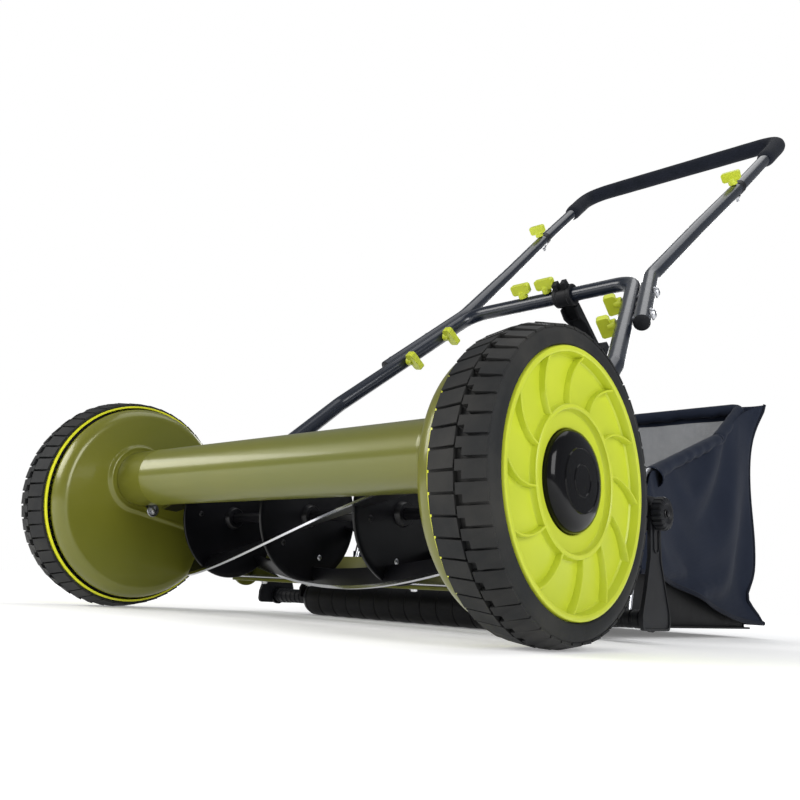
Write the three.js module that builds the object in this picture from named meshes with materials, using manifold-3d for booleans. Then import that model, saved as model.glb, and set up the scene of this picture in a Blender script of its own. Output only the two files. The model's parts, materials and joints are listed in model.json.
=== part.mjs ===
// A push reel mower with a grass catcher, in millimetres, +Z up.
// Y runs from the front of the mower to its rear, X across it. The origin is the centre of the
// footprint of the whole machine, on the ground. Heights and depths below are written from the
// wheel axle (y = 0) and the ground (z = 0); the exported group then carries AXLE_Y.
import * as THREE from 'three';
import { mergeVertices } from 'three/addons/utils/BufferGeometryUtils.js';
import Module from 'manifold-3d';

const wasm = await Module();
wasm.setup();

// ---- driving dimensions --------------------------------------------------------------------
const AXLE_Y = -452.7;
const GAP = 0.35;

const WHEEL_R = 127;
const WHEEL_SEGMENTS = 28;
const TYRE_INNER_X = 280.5;
const TYRE_OUTER_X = 333.5;
const RIM_INNER_X = 278;
const RIM_OUTER_X = 334;
const RIM_WEB_X = 319;
const AXLE_R = 8;

const PLATE_X = 258;
const PLATE_T = 3.5;
const BOSS_X = 254.5;
const DISH_R = 115;
const DISH_OUTER_X = 275;
const DISH_BEND = 13;

const DRUM_R = 32.5;
const DRUM_WALL = 2;
const DRUM_Y = -16;
const DRUM_Z = 153;

const GEAR_MODULE = 2;
const RING_TEETH = 112;
const PINION_TEETH = 16;
const GEAR_X0 = 284;
const GEAR_X1 = 296;
const REEL_OFFSET = GEAR_MODULE * (RING_TEETH - PINION_TEETH) / 2;
const REEL_Z = 116;
const REEL_Y = Math.sqrt(REEL_OFFSET ** 2 - (WHEEL_R - REEL_Z) ** 2);
// A gap of the ring and a tooth of the pinion face each other on the line of centres.
const MESH_ANGLE = Math.atan2(REEL_Z - WHEEL_R, REEL_Y);
const REEL_TIP_R = 80;
const BLADE_ROOT_R = 58;
const BLADE_T = 3;
const BLADE_HALF_LENGTH = 252;
const BLADE_COUNT = 5;
const BLADE_TWIST = THREE.MathUtils.degToRad(108);
const BLADE_STEPS = 24;
const BLADE_PHASE = THREE.MathUtils.degToRad(-166);
const DISC_R = 74;
const DISC_T = 3;
const DISC_X = [-212, -71, 71, 212];
const SHAFT_R = 6;
const BEARING_R = 11;

const KNIFE_EDGE = [135.9, 46];

const ROLLER_Y = 240;
const ROLLER_R = 23;
const ROLLER_HALF = 212;
const SLEEVE_R = 9;
const ARM_X = 281.5;
const ARM_T = 4;
// Half the width of a roller arm at each height: a broad foot, a narrow neck round its slot.
const ARM_WIDTHS = [[13, 29], [16, 32], [27, 32], [54, 22], [84, 13], [128, 11], [136, 8], [139, 3]];
const KNOB_Y = 243;
const KNOB_Z = 128;
const HEIGHT_TRAVEL = 34;
const BRACKET_T = 3.5;

// The handle's own plane: x across, s along the tubes from the pivot, and height square to both.
const HANDLE_ANGLE = THREE.MathUtils.degToRad(40.9);
const PIVOT_Y = 165;
const PIVOT_Z = 205;
const TUBE_R = 11;
const TUBE_SIDES = 8;
const CROSSBAR_S = 438;
const LEG = [[235.9, -14, 0], [222, 150, 0], [144.6, CROSSBAR_S, 0]];
const LEG_BEND_R = 42;
const LEG_KNOB_S = [283, 363.5];
const CROSSBAR_KNOB_X = [-39, 4];
// The middle tubes lie beside the legs, TUBE_OFFSET apart, and run out to the grip.
const TUBE_OFFSET = 23.7;
const LOWER_END_S = 268;
const WAIST_S = 446;
const FLARE_S = 646;
const JOINT_S = 845;
const JOINT_X = 195;
const JOINT_KNOB_S = 822;
const JOINT_KNOB_X = 193;
const GRIP_S = 1127;
const GRIP_X = 210;
const GRIP_STEPS = 34;
const FOAM_R = 15.5;
const FOAM_START_S = 998;

const CLAMP_X = [16, 46];
const CLAMP_R = 17;
const CROSSBAR_Y = PIVOT_Y + CROSSBAR_S * Math.cos(HANDLE_ANGLE);
const CROSSBAR_Z = PIVOT_Z + CROSSBAR_S * Math.sin(HANDLE_ANGLE);
const STRAP_END = [695, 343];

const CATCHER_HALF = 225;
const CATCHER_REAR_Y = 708;
const CATCHER_FRONT_Y = 330;
const FABRIC_T = 3;
const WIRE_R = 3.5;
const PAN_T = 3;
const PAN_Z = 12;
const PAN_FRONT_Y = 270;

// ---- colours ---------------------------------------------------------------------------------
const LIME = [0xb7c62c, 0.4, 0];
const OLIVE = [0x66672a, 0.3, 0.3];
const RUBBER = [0x1b1c1e, 0.85, 0];
const BLACK_PLASTIC = [0x151618, 0.5, 0];
const GLOSS_BLACK = [0x0c0d10, 0.2, 0.3];
const STEEL = [0xa9adb2, 0.3, 1];
const FOAM = [0x14161c, 0.9, 0];
const FABRIC = [0x171b26, 0.9, 0];

// ---- solids ----------------------------------------------------------------------------------
function signedVolume(geometry) {
  const position = geometry.attributes.position;
  const index = geometry.index;
  const a = new THREE.Vector3();
  const b = new THREE.Vector3();
  const c = new THREE.Vector3();
  let volume = 0;
  for (let i = 0; i < index.count; i += 3) {
    a.fromBufferAttribute(position, index.getX(i));
    b.fromBufferAttribute(position, index.getX(i + 1));
    c.fromBufferAttribute(position, index.getX(i + 2));
    volume += a.dot(b.cross(c)) / 6;
  }
  return volume;
}

// A closed three.js geometry becomes a solid with welded corners and its faces pointing out.
function solid(geometry) {
  const bare = geometry.clone();
  bare.deleteAttribute('normal');
  bare.deleteAttribute('uv');
  const welded = mergeVertices(bare, 1e-3);
  const flip = signedVolume(welded) < 0;
  const triangles = [];
  for (let i = 0; i < welded.index.count; i += 3) {
    const [a, b, c] = [0, 1, 2].map((k) => welded.index.getX(i + k));
    if (a !== b && b !== c && c !== a) triangles.push(...(flip ? [a, c, b] : [a, b, c]));
  }
  const mesh = new wasm.Mesh({
    numProp: 3,
    vertProperties: new Float32Array(welded.attributes.position.array),
    triVerts: new Uint32Array(triangles),
  });
  return new wasm.Manifold(mesh);
}

function toGeometry(body) {
  const mesh = body.getMesh();
  const geometry = new THREE.BufferGeometry();
  geometry.setAttribute('position', new THREE.BufferAttribute(mesh.vertProperties, 3));
  geometry.setIndex(new THREE.BufferAttribute(mesh.triVerts, 1));
  geometry.computeVertexNormals();
  return geometry;
}

function piece(parent, name, body, [color, roughness, metalness]) {
  const material = new THREE.MeshStandardMaterial({ color, roughness, metalness });
  const mesh = new THREE.Mesh(toGeometry(body), material);
  mesh.name = name;
  parent.add(mesh);
  return mesh;
}

// A turned solid on an axis along X through (y, z). The profile is a list of [x, radius].
function turned(profile, { side = 1, y = 0, z = WHEEL_R, segments = 24, closed = true } = {}) {
  const points = profile.map(([x, r]) => new THREE.Vector2(r, side * x));
  if (closed) points.push(points[0].clone());
  const geometry = new THREE.LatheGeometry(points, segments);
  geometry.rotateZ(-Math.PI / 2);
  geometry.translate(0, y, z);
  return solid(geometry);
}

// The two X ends of a piece on one side of the machine, the smaller first.
function span(side, inner, outer) {
  return side > 0 ? [inner, outer] : [-outer, -inner];
}

function rod(x0, x1, r, y, z, segments = 12) {
  const profile = [[x0, 0], [x0, r], [x1, r], [x1, 0]];
  return turned(profile, { y, z, segments, closed: false });
}

function ring(x0, x1, inner, outer, options) {
  return turned([[x0, inner], [x0, outer], [x1, outer], [x1, inner]], options);
}

function shapeOf(points) {
  return new THREE.Shape(points.map(([a, b]) => new THREE.Vector2(a, b)));
}

// A flat shape in the Y-Z plane made solid from side * x0 to side * x1.
function thicken(shape, x0, x1, side) {
  const geometry = new THREE.ExtrudeGeometry(shape, { depth: x1 - x0, bevelEnabled: false });
  const basis = new THREE.Matrix4().makeBasis(
    new THREE.Vector3(0, 1, 0),
    new THREE.Vector3(0, 0, 1),
    new THREE.Vector3(1, 0, 0),
  );
  geometry.applyMatrix4(basis);
  geometry.translate(x0, 0, 0);
  geometry.scale(side, 1, 1);
  return solid(geometry);
}

function sideways(points, x0, x1, side = 1) {
  return thicken(shapeOf(points), x0, x1, side);
}

// An outline in the X-Y plane made solid from z0 to z1.
function upright(points, z0, z1, side = 1) {
  const geometry = new THREE.ExtrudeGeometry(shapeOf(points), { depth: z1 - z0, bevelEnabled: false });
  geometry.translate(0, 0, z0);
  geometry.scale(side, 1, 1);
  return solid(geometry);
}

function arc(cy, cz, r, from, to, steps) {
  return Array.from({ length: steps + 1 }, (_, i) => {
    const angle = THREE.MathUtils.degToRad(from + (to - from) * i / steps);
    return [cy + r * Math.cos(angle), cz + r * Math.sin(angle)];
  });
}

// The outline of a belt stretched around circles given as [y, z, radius].
function belt(circles) {
  const points = circles.flatMap(([y, z, r]) => arc(y, z, r, 0, 330, 11));
  points.sort((a, b) => a[0] - b[0] || a[1] - b[1]);
  const half = (list) => {
    const chain = [];
    for (const p of list) {
      while (chain.length > 1 && turn(chain.at(-2), chain.at(-1), p) <= 0) chain.pop();
      chain.push(p);
    }
    return chain.slice(0, -1);
  };
  return [...half(points), ...half([...points].reverse())];
}

function turn(a, b, c) {
  return (b[0] - a[0]) * (c[1] - a[1]) - (b[1] - a[1]) * (c[0] - a[0]);
}

function slot(y, z0, z1, r) {
  return [...arc(y, z1, r, 0, 180, 6), ...arc(y, z0, r, 180, 360, 6)];
}

// A path of straight stretches with its corners rounded off.
function roundedPath(corners, radius) {
  const points = corners.map((p) => new THREE.Vector3(...p));
  const path = new THREE.CurvePath();
  let from = points[0];
  for (let i = 1; i < points.length - 1; i++) {
    const back = points[i - 1].clone().sub(points[i]).normalize();
    const ahead = points[i + 1].clone().sub(points[i]).normalize();
    const bend = (Math.PI - back.angleTo(ahead)) / 2;
    const reach = radius * Math.tan(bend);
    const start = points[i].clone().addScaledVector(back, reach);
    const end = points[i].clone().addScaledVector(ahead, reach);
    path.add(new THREE.LineCurve3(from, start));
    path.add(new THREE.QuadraticBezierCurve3(start, points[i], end));
    from = end;
  }
  path.add(new THREE.LineCurve3(from, points.at(-1)));
  return path;
}

function bar(path, r, steps, sides = TUBE_SIDES) {
  const section = shapeOf(arc(0, 0, r, 0, 360, sides).slice(0, -1));
  return solid(new THREE.ExtrudeGeometry(section, { steps, extrudePath: path, bevelEnabled: false }));
}

// A straight round bar between two points of any direction.
function pin(from, to, r, sides = 8) {
  const start = new THREE.Vector3(...from);
  const end = new THREE.Vector3(...to);
  const geometry = new THREE.CylinderGeometry(r, r, start.distanceTo(end), sides);
  const direction = end.clone().sub(start).normalize();
  const lean = new THREE.Quaternion().setFromUnitVectors(new THREE.Vector3(0, 1, 0), direction);
  geometry.applyQuaternion(lean);
  const middle = start.add(end).multiplyScalar(0.5);
  geometry.translate(middle.x, middle.y, middle.z);
  return solid(geometry);
}

function box(x0, x1, y0, y1, z0, z1) {
  const geometry = new THREE.BoxGeometry(x1 - x0, y1 - y0, z1 - z0);
  geometry.translate((x0 + x1) / 2, (y0 + y1) / 2, (z0 + z1) / 2);
  return solid(geometry);
}

// ---- wheels ----------------------------------------------------------------------------------
function tyre(side) {
  const profile = [
    [TYRE_INNER_X, 121.2], [TYRE_INNER_X, 123], [286, WHEEL_R], [328, WHEEL_R],
    [TYRE_OUTER_X, 122], [TYRE_OUTER_X, 106.1], [306.9, 106.1], [304.9, 121.2],
  ];
  return turned(profile, { side, segments: WHEEL_SEGMENTS });
}

// The barrel is wide where the gear ring sits, then steps down to the dished outer face.
function rim(side) {
  const profile = [
    [RIM_INNER_X, 117.5], [RIM_INNER_X, 120.5], [304, 119.5], [306, 105.5], [RIM_OUTER_X, 105.5],
    [RIM_OUTER_X, 99], [RIM_WEB_X, 93], [RIM_WEB_X, 61.5], [330, 60], [330, 55.5], [RIM_WEB_X, 54],
    [RIM_WEB_X, AXLE_R + GAP], [283.5, AXLE_R + GAP], [283.5, 16], [315, 17], [315, 101], [301, 117.5],
  ];
  return turned(profile, { side, segments: WHEEL_SEGMENTS });
}

function hubCap(side) {
  const inner = RIM_WEB_X + GAP;
  const profile = [
    [336, 0], [335.4, 20], [333, 33], [328, 40.5],
    [inner, 40.5], [inner, 37], [327, 33], [330, 20], [330, 0],
  ];
  return turned(profile, { side, closed: false });
}

function axleNut(side) {
  const [x0, x1] = span(side, RIM_WEB_X + GAP, 326);
  const bore = rod(x0 - 1, x1 + 1, AXLE_R + GAP, 0, WHEEL_R, 20);
  return rod(x0, x1, 13, 0, WHEEL_R, 6).subtract(bore);
}

function ringGear(side) {
  const teeth = Array.from({ length: RING_TEETH * 2 }, (_, i) => {
    const r = i % 2 ? 114 : 110.5;
    const angle = MESH_ANGLE + (i - 1) * Math.PI / RING_TEETH;
    return new THREE.Vector2(r * Math.cos(angle), WHEEL_R + r * Math.sin(angle));
  });
  const outline = shapeOf(arc(0, WHEEL_R, 116.2, 0, 360, WHEEL_SEGMENTS).slice(0, -1));
  outline.holes.push(new THREE.Path(teeth));
  return thicken(outline, GEAR_X0, GEAR_X1, side);
}

function pinion(side) {
  const pitch = 2 * Math.PI / PINION_TEETH;
  const points = [];
  for (let i = 0; i < PINION_TEETH; i++) {
    for (const [r, share] of [[13.6, -0.32], [17, -0.1], [17, 0.1], [13.6, 0.32]]) {
      const angle = MESH_ANGLE + (i + share) * pitch;
      points.push([REEL_Y + r * Math.cos(angle), REEL_Z + r * Math.sin(angle)]);
    }
  }
  const bore = rod(...span(side, GEAR_X0 - 5, GEAR_X1 + 5), SHAFT_R + GAP, REEL_Y, REEL_Z);
  return sideways(points, GEAR_X0, GEAR_X1, side).subtract(bore);
}

// ---- frame -----------------------------------------------------------------------------------
function frontTube() {
  const end = BOSS_X - GAP;
  return ring(-end, end, DRUM_R - DRUM_WALL, DRUM_R, { y: DRUM_Y, z: DRUM_Z, segments: 28 });
}

function dish(side) {
  const depth = DISH_OUTER_X - PLATE_X;
  const curve = (inset) => Array.from({ length: 4 }, (_, i) => {
    const angle = i * Math.PI / 6;
    const x = DISH_OUTER_X - (depth - inset) * Math.cos(angle);
    return [x, DISH_R - DISH_BEND + (DISH_BEND - inset) * Math.sin(angle)];
  });
  const hole = AXLE_R + GAP;
  const profile = [[PLATE_X, hole], ...curve(0), ...curve(PLATE_T).reverse(), [PLATE_X + PLATE_T, hole]];
  return turned(profile, { side, segments: WHEEL_SEGMENTS });
}

// The pressed dish, the teardrop boss that joins tube and reel bearing, the lobe that holds the
// cutter bar and the ear that holds the handle are one plate.
function sidePlate(side) {
  const drumBoss = [DRUM_Y, DRUM_Z, 40.5];
  const reelBoss = [REEL_Y, REEL_Z, 24];
  const back = PLATE_X + PLATE_T;
  const through = (y, z, r) => rod(...span(side, BOSS_X - 5, 290), r, y, z, 16);
  return dish(side)
    .add(sideways(belt([drumBoss, reelBoss]), BOSS_X, back, side))
    .add(sideways(belt([reelBoss, [163, 58, 24], [130, 130, 20]]), PLATE_X, back, side))
    .add(sideways(belt([[60, 150, 30], [PIVOT_Y, PIVOT_Z, 15]]), PLATE_X, back, side))
    .subtract(through(REEL_Y, REEL_Z, BEARING_R + GAP))
    .subtract(through(0, WHEEL_R, AXLE_R + GAP))
    .subtract(through(PIVOT_Y, PIVOT_Z, 4.6));
}

function reelBearing(side) {
  return ring(BOSS_X, 268, SHAFT_R + GAP, BEARING_R, { side, y: REEL_Y, z: REEL_Z, segments: 16 });
}

function stubAxle(side) {
  const face = PLATE_X + PLATE_T + GAP;
  const profile = [[PLATE_X - 2, 0], [PLATE_X - 2, AXLE_R], [face, AXLE_R], [face, 16], [face + 5, 16],
    [face + 5, AXLE_R], [327, AXLE_R], [327, 0]];
  return turned(profile, { side, closed: false, segments: 20 });
}

// A strip bracket bent outwards behind the wheel, so that the roller arm hangs outside it.
function rearBracket(side) {
  const inner = PLATE_X - GAP;
  const outer = ARM_X - GAP * 2;
  const points = [
    [inner - BRACKET_T, 124], [inner, 124], [inner, 168], [outer, 188], [outer, 262],
    [outer - BRACKET_T, 262], [outer - BRACKET_T, 190], [inner - BRACKET_T, 170],
  ];
  const hole = rod(...span(side, 270, 290), 4.3, KNOB_Y, KNOB_Z);
  return upright(points, 110, 146, side).subtract(hole);
}

function bedBar() {
  const points = [[139, 40], [171, 43.2], [187, 74], [183.5, 76], [168.6, 46.9], [139, 43.9]];
  return sideways(points, -PLATE_X + GAP, PLATE_X - GAP);
}

function bedKnife() {
  const points = [KNIFE_EDGE, [136.3, 44.4], [166, 47.4], [165.8, 49.2]];
  return sideways(points, -BLADE_HALF_LENGTH, BLADE_HALF_LENGTH);
}

function pivotBolt(side) {
  const profile = [
    [221, 0], [221, 4], [247.2, 4], [247.2, 7], [PLATE_X - GAP, 7], [PLATE_X - GAP, 4],
    [PLATE_X + PLATE_T + GAP, 4], [PLATE_X + PLATE_T + GAP, 8], [267, 8], [267, 0],
  ];
  return turned(profile, { side, y: PIVOT_Y, z: PIVOT_Z, closed: false, segments: 12 });
}

// ---- reel ------------------------------------------------------------------------------------
// One blade is a strip on edge, wound round the reel axis. extra thickens it, to cut its slots.
function blade(index, extra = 0) {
  const corners = [];
  for (let i = 0; i <= BLADE_STEPS; i++) {
    const share = i / BLADE_STEPS - 0.5;
    const x = share * 2 * (BLADE_HALF_LENGTH + extra);
    const angle = BLADE_PHASE + index * 2 * Math.PI / BLADE_COUNT - share * BLADE_TWIST;
    for (const [r, half] of [
      [BLADE_ROOT_R - extra, -BLADE_T / 2 - extra], [REEL_TIP_R + extra, -BLADE_T / 2 - extra],
      [REEL_TIP_R + extra, BLADE_T / 2 + extra], [BLADE_ROOT_R - extra, BLADE_T / 2 + extra],
    ]) {
      corners.push(
        x,
        REEL_Y + r * Math.cos(angle) - half * Math.sin(angle),
        REEL_Z + r * Math.sin(angle) + half * Math.cos(angle),
      );
    }
  }
  const faces = [0, 1, 2, 0, 2, 3];
  for (let i = 0; i < BLADE_STEPS; i++) {
    for (let k = 0; k < 4; k++) {
      const a = i * 4 + k;
      const b = i * 4 + (k + 1) % 4;
      faces.push(a, a + 4, b + 4, a, b + 4, b);
    }
  }
  const last = BLADE_STEPS * 4;
  faces.push(last, last + 2, last + 1, last, last + 3, last + 2);
  const geometry = new THREE.BufferGeometry();
  geometry.setAttribute('position', new THREE.Float32BufferAttribute(corners, 3));
  geometry.setIndex(faces);
  return solid(geometry);
}

function reelDisc(x, slots) {
  const plate = ring(x - DISC_T / 2, x + DISC_T / 2, SHAFT_R + GAP, DISC_R, {
    y: REEL_Y, z: REEL_Z, segments: 24,
  });
  return slots.reduce((body, cutter) => body.subtract(cutter), plate);
}

// ---- roller and height adjustment --------------------------------------------------------------
function rollerArm(side) {
  const outline = [
    ...ARM_WIDTHS.map(([z, half]) => [KNOB_Y + half - 2, z]),
    ...ARM_WIDTHS.toReversed().map(([z, half]) => [KNOB_Y - half - 2, z]),
  ];
  const gate = sideways(slot(KNOB_Y, KNOB_Z - HEIGHT_TRAVEL, KNOB_Z, 4.6), ARM_X - 5, ARM_X + 10, side);
  return sideways(outline, ARM_X, ARM_X + ARM_T, side).subtract(gate);
}

function rollerAxle() {
  const half = ROLLER_HALF + 1.5;
  const end = ARM_X - GAP;
  const profile = [
    [-end, 0], [-end, SLEEVE_R], [-half, SLEEVE_R], [-half, SHAFT_R],
    [half, SHAFT_R], [half, SLEEVE_R], [end, SLEEVE_R], [end, 0],
  ];
  return turned(profile, { y: ROLLER_Y, z: ROLLER_R, closed: false, segments: 16 });
}

function roller() {
  const bore = SHAFT_R + GAP;
  const half = ROLLER_HALF;
  const profile = [
    [-half, bore], [-half, 13], [-half + 5, 19], [-half + 15, ROLLER_R],
    [half - 15, ROLLER_R], [half - 5, 19], [half, 13], [half, bore],
  ];
  return turned(profile, { y: ROLLER_Y, z: ROLLER_R, segments: 24 });
}

function heightKnob(side) {
  const lobes = Array.from({ length: 36 }, (_, i) => {
    const angle = i * Math.PI / 18;
    const r = i % 3 ? 17 : 15.4;
    return [KNOB_Y + r * Math.cos(angle), KNOB_Z + r * Math.sin(angle)];
  });
  const back = ARM_X + ARM_T + GAP;
  const stud = rod(...span(side, 268, back + 2), 3.7, KNOB_Y, KNOB_Z);
  return sideways(lobes, back, back + 12, side).add(stud);
}

// ---- handle, in its own plane: X across, Y up along the tubes, Z square to the plane ----------
function legX(s) {
  const [, knee, top] = LEG;
  return knee[0] + (top[0] - knee[0]) * (s - knee[1]) / (top[1] - knee[1]);
}

function lowerHandlePath() {
  const left = LEG.map(([x, s, n]) => [-x, s, n]);
  return roundedPath([...left, ...LEG.toReversed()], LEG_BEND_R);
}

function midTubePath(side) {
  const foot = [legX(LOWER_END_S) + TUBE_OFFSET, LOWER_END_S];
  const corners = [foot, [166, WAIST_S], [178.3, FLARE_S], [JOINT_X, JOINT_S]];
  return roundedPath(corners.map(([x, s]) => [side * x, s, 0]), 70);
}

function gripPath(start) {
  const foot = JOINT_X + (GRIP_X - JOINT_X) * (start - JOINT_S) / (GRIP_S - JOINT_S);
  const right = [[foot, start, 0], [GRIP_X, GRIP_S, 0]];
  return roundedPath([...right.map(([x, s, n]) => [-x, s, n]), ...right.toReversed()], 50);
}

// The direction of a leg's cross bolts: across the leg, from its inner side to its outer side.
function acrossLeg(side) {
  const [, knee, top] = LEG;
  const slope = (top[0] - knee[0]) / (top[1] - knee[1]);
  return new THREE.Vector3(side, -slope, 0).normalize();
}

function lowerHandle() {
  const pivotHoles = [1, -1].map((side) => rod(...span(side, 215, 255), 4.6, 0, 0));
  return pivotHoles.reduce((body, hole) => body.subtract(hole), bar(lowerHandlePath(), TUBE_R, 42));
}

function midTube(side) {
  return bar(midTubePath(side), TUBE_R, 20);
}

function gripTube() {
  return bar(gripPath(JOINT_S + GAP), TUBE_R, GRIP_STEPS);
}

function foamGrip() {
  const room = bar(gripPath(JOINT_S + GAP), TUBE_R + GAP, GRIP_STEPS);
  return bar(gripPath(FOAM_START_S), FOAM_R, 24, 10).subtract(room);
}

// A wing knob screwed onto a bolt end: the hub stands on the tube, the wings on the hub.
function wingKnob() {
  const outline = [[-6, 4], [-15, 8], [-14, 23], [-5, 20], [5, 20], [14, 23], [15, 8], [6, 4]];
  const geometry = new THREE.ExtrudeGeometry(shapeOf(outline), { depth: 8, bevelEnabled: false });
  geometry.translate(0, 0, -4);
  geometry.rotateX(Math.PI / 2);
  return solid(geometry).add(pin([0, 0, GAP], [0, 0, 8], 7, 12));
}

function placeKnob(parent, name, position, direction) {
  const knob = piece(parent, name, wingKnob(), LIME);
  knob.position.copy(position);
  knob.quaternion.setFromUnitVectors(new THREE.Vector3(0, 0, 1), direction);
}

function legKnobs(parent, side, label) {
  const inward = acrossLeg(side).negate();
  LEG_KNOB_S.forEach((s, i) => {
    const seat = new THREE.Vector3(side * legX(s), s, 0).addScaledVector(inward, TUBE_R);
    placeKnob(parent, `leg_knob_${label}_${i + 1}`, seat, inward);
  });
}

function planeKnob(parent, name, x, s) {
  const up = new THREE.Vector3(0, 0, 1);
  placeKnob(parent, name, new THREE.Vector3(x, s, TUBE_R), up);
}

// ---- hanger between handle and catcher ---------------------------------------------------------
// An outline along the strap: distance from the crossbar and height above the strap's mid plane.
function alongStrap(points) {
  const angle = Math.atan2(STRAP_END[1] - CROSSBAR_Z, STRAP_END[0] - CROSSBAR_Y);
  return points.map(([d, h]) => [
    CROSSBAR_Y + d * Math.cos(angle) - h * Math.sin(angle),
    CROSSBAR_Z + d * Math.sin(angle) + h * Math.cos(angle),
  ]);
}

function hangerClamp() {
  return ring(...CLAMP_X, TUBE_R + GAP, CLAMP_R, { y: CROSSBAR_Y, z: CROSSBAR_Z, segments: 20 });
}

function hangerStrap() {
  const length = Math.hypot(STRAP_END[0] - CROSSBAR_Y, STRAP_END[1] - CROSSBAR_Z);
  const [x0, x1] = CLAMP_X;
  const blank = [[17.8, -9], [36, -12], [50, -3], [length, -3], [length, 3], [17.8, 3]];
  const block = [[100, -9], [122, -9], [122, 7], [100, 7]];
  return sideways(alongStrap(blank), x0 + 1, x1 - 1).add(sideways(alongStrap(block), x1 - 4, x1 + 12));
}

// ---- catcher -----------------------------------------------------------------------------------
// A hook open at the bottom, which drops over the sleeve of the roller axle.
function panHook(side, outer) {
  const inner = 214.8;
  const outline = [[224, 22], [224, 42], [252, 42], [276, 46], [276, PAN_Z], [258, PAN_Z], [256, 22]];
  const [x0, x1] = span(side, inner - 5, outer + 5);
  const room = SLEEVE_R + 0.5;
  return sideways(outline, inner, outer, side)
    .subtract(rod(x0, x1, room, ROLLER_Y, ROLLER_R, 16))
    .subtract(box(x0, x1, ROLLER_Y - room, ROLLER_Y + room, 0, ROLLER_R));
}

function catcherPan() {
  const half = CATCHER_HALF - FABRIC_T - 3;
  const top = PAN_Z + PAN_T;
  const floor = box(-half, half, PAN_FRONT_Y, 702, PAN_Z, top);
  const flank = [
    [PAN_FRONT_Y, PAN_Z], [702, PAN_Z], [702, top + 3],
    [394, 72], [300, 72], [PAN_FRONT_Y, 50],
  ];
  return [1, -1].reduce(
    (pan, side) => pan.add(sideways(flank, 207, 207 + PAN_T, side)).add(panHook(side, half)),
    floor,
  );
}

function wireFrame() {
  const x = CATCHER_HALF - FABRIC_T - WIRE_R - 1;
  const rear = CATCHER_REAR_Y - FABRIC_T - WIRE_R - 1;
  const right = [[x, 318, 30], [x, 362, 190], [x, 600, 276], [x, rear, 341]];
  const left = right.toReversed().map(([a, b, c]) => [-a, b, c]);
  return bar(roundedPath([...right, ...left], 16), WIRE_R, 48, 6);
}

// Two side panels and a rear panel: the top, the front and the floor are open.
function catcherBag() {
  const outline = [
    [CATCHER_FRONT_Y, 82], [352, 201], [372, 207], [600, 287],
    [CATCHER_REAR_Y, 351], [CATCHER_REAR_Y, 21], [396, 76],
  ];
  const inner = CATCHER_HALF - FABRIC_T;
  const rear = CATCHER_REAR_Y - FABRIC_T;
  return sideways(outline, -CATCHER_HALF, CATCHER_HALF)
    .subtract(box(-inner, inner, 200, rear, 0, 500));
}

// ---- assembly ----------------------------------------------------------------------------------
const mower = new THREE.Group();
mower.position.y = AXLE_Y;

function addFrame() {
  piece(mower, 'front_tube', frontTube(), OLIVE);
  piece(mower, 'bed_bar', bedBar(), OLIVE);
  piece(mower, 'bed_knife', bedKnife(), STEEL);
}

function addReel() {
  piece(mower, 'reel_shaft', rod(-300, 300, SHAFT_R, REEL_Y, REEL_Z), STEEL);
  const slots = Array.from({ length: BLADE_COUNT }, (_, i) => blade(i, GAP));
  DISC_X.forEach((x, i) => piece(mower, `reel_disc_${i + 1}`, reelDisc(x, slots), GLOSS_BLACK));
  for (let i = 0; i < BLADE_COUNT; i++) piece(mower, `reel_blade_${i + 1}`, blade(i), GLOSS_BLACK);
}

function addSide(side, label) {
  piece(mower, `tyre_${label}`, tyre(side), RUBBER);
  piece(mower, `rim_${label}`, rim(side), LIME);
  piece(mower, `ring_gear_${label}`, ringGear(side), BLACK_PLASTIC);
  piece(mower, `hub_cap_${label}`, hubCap(side), GLOSS_BLACK);
  piece(mower, `axle_nut_${label}`, axleNut(side), STEEL);
  piece(mower, `pinion_${label}`, pinion(side), STEEL);
  piece(mower, `side_plate_${label}`, sidePlate(side), OLIVE);
  piece(mower, `reel_bearing_${label}`, reelBearing(side), STEEL);
  piece(mower, `stub_axle_${label}`, stubAxle(side), STEEL);
  piece(mower, `rear_bracket_${label}`, rearBracket(side), GLOSS_BLACK);
  piece(mower, `pivot_bolt_${label}`, pivotBolt(side), STEEL);
  piece(mower, `roller_arm_${label}`, rollerArm(side), BLACK_PLASTIC);
  piece(mower, `height_knob_${label}`, heightKnob(side), BLACK_PLASTIC);
}

function addRoller() {
  piece(mower, 'roller_axle', rollerAxle(), BLACK_PLASTIC);
  piece(mower, 'roller', roller(), BLACK_PLASTIC);
}

function addHandle() {
  const handle = new THREE.Group();
  handle.position.set(0, PIVOT_Y, PIVOT_Z);
  handle.rotation.x = HANDLE_ANGLE;
  mower.add(handle);
  piece(handle, 'lower_handle', lowerHandle(), GLOSS_BLACK);
  piece(handle, 'grip_tube', gripTube(), GLOSS_BLACK);
  piece(handle, 'foam_grip', foamGrip(), FOAM);
  for (const [side, label] of [[1, 'right'], [-1, 'left']]) {
    piece(handle, `mid_tube_${label}`, midTube(side), GLOSS_BLACK);
    legKnobs(handle, side, label);
    planeKnob(handle, `joint_knob_${label}`, side * JOINT_KNOB_X, JOINT_KNOB_S);
  }
  CROSSBAR_KNOB_X.forEach((x, i) => planeKnob(handle, `crossbar_knob_${i + 1}`, x, CROSSBAR_S));
}

function addCatcher() {
  piece(mower, 'hanger_clamp', hangerClamp(), BLACK_PLASTIC);
  piece(mower, 'hanger_strap', hangerStrap(), BLACK_PLASTIC);
  piece(mower, 'catcher_pan', catcherPan(), BLACK_PLASTIC);
  piece(mower, 'catcher_wire', wireFrame(), STEEL);
  piece(mower, 'catcher_bag', catcherBag(), FABRIC);
}

addFrame();
addReel();
addSide(1, 'right');
addSide(-1, 'left');
addRoller();
addHandle();
addCatcher();

export default mower;
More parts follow.
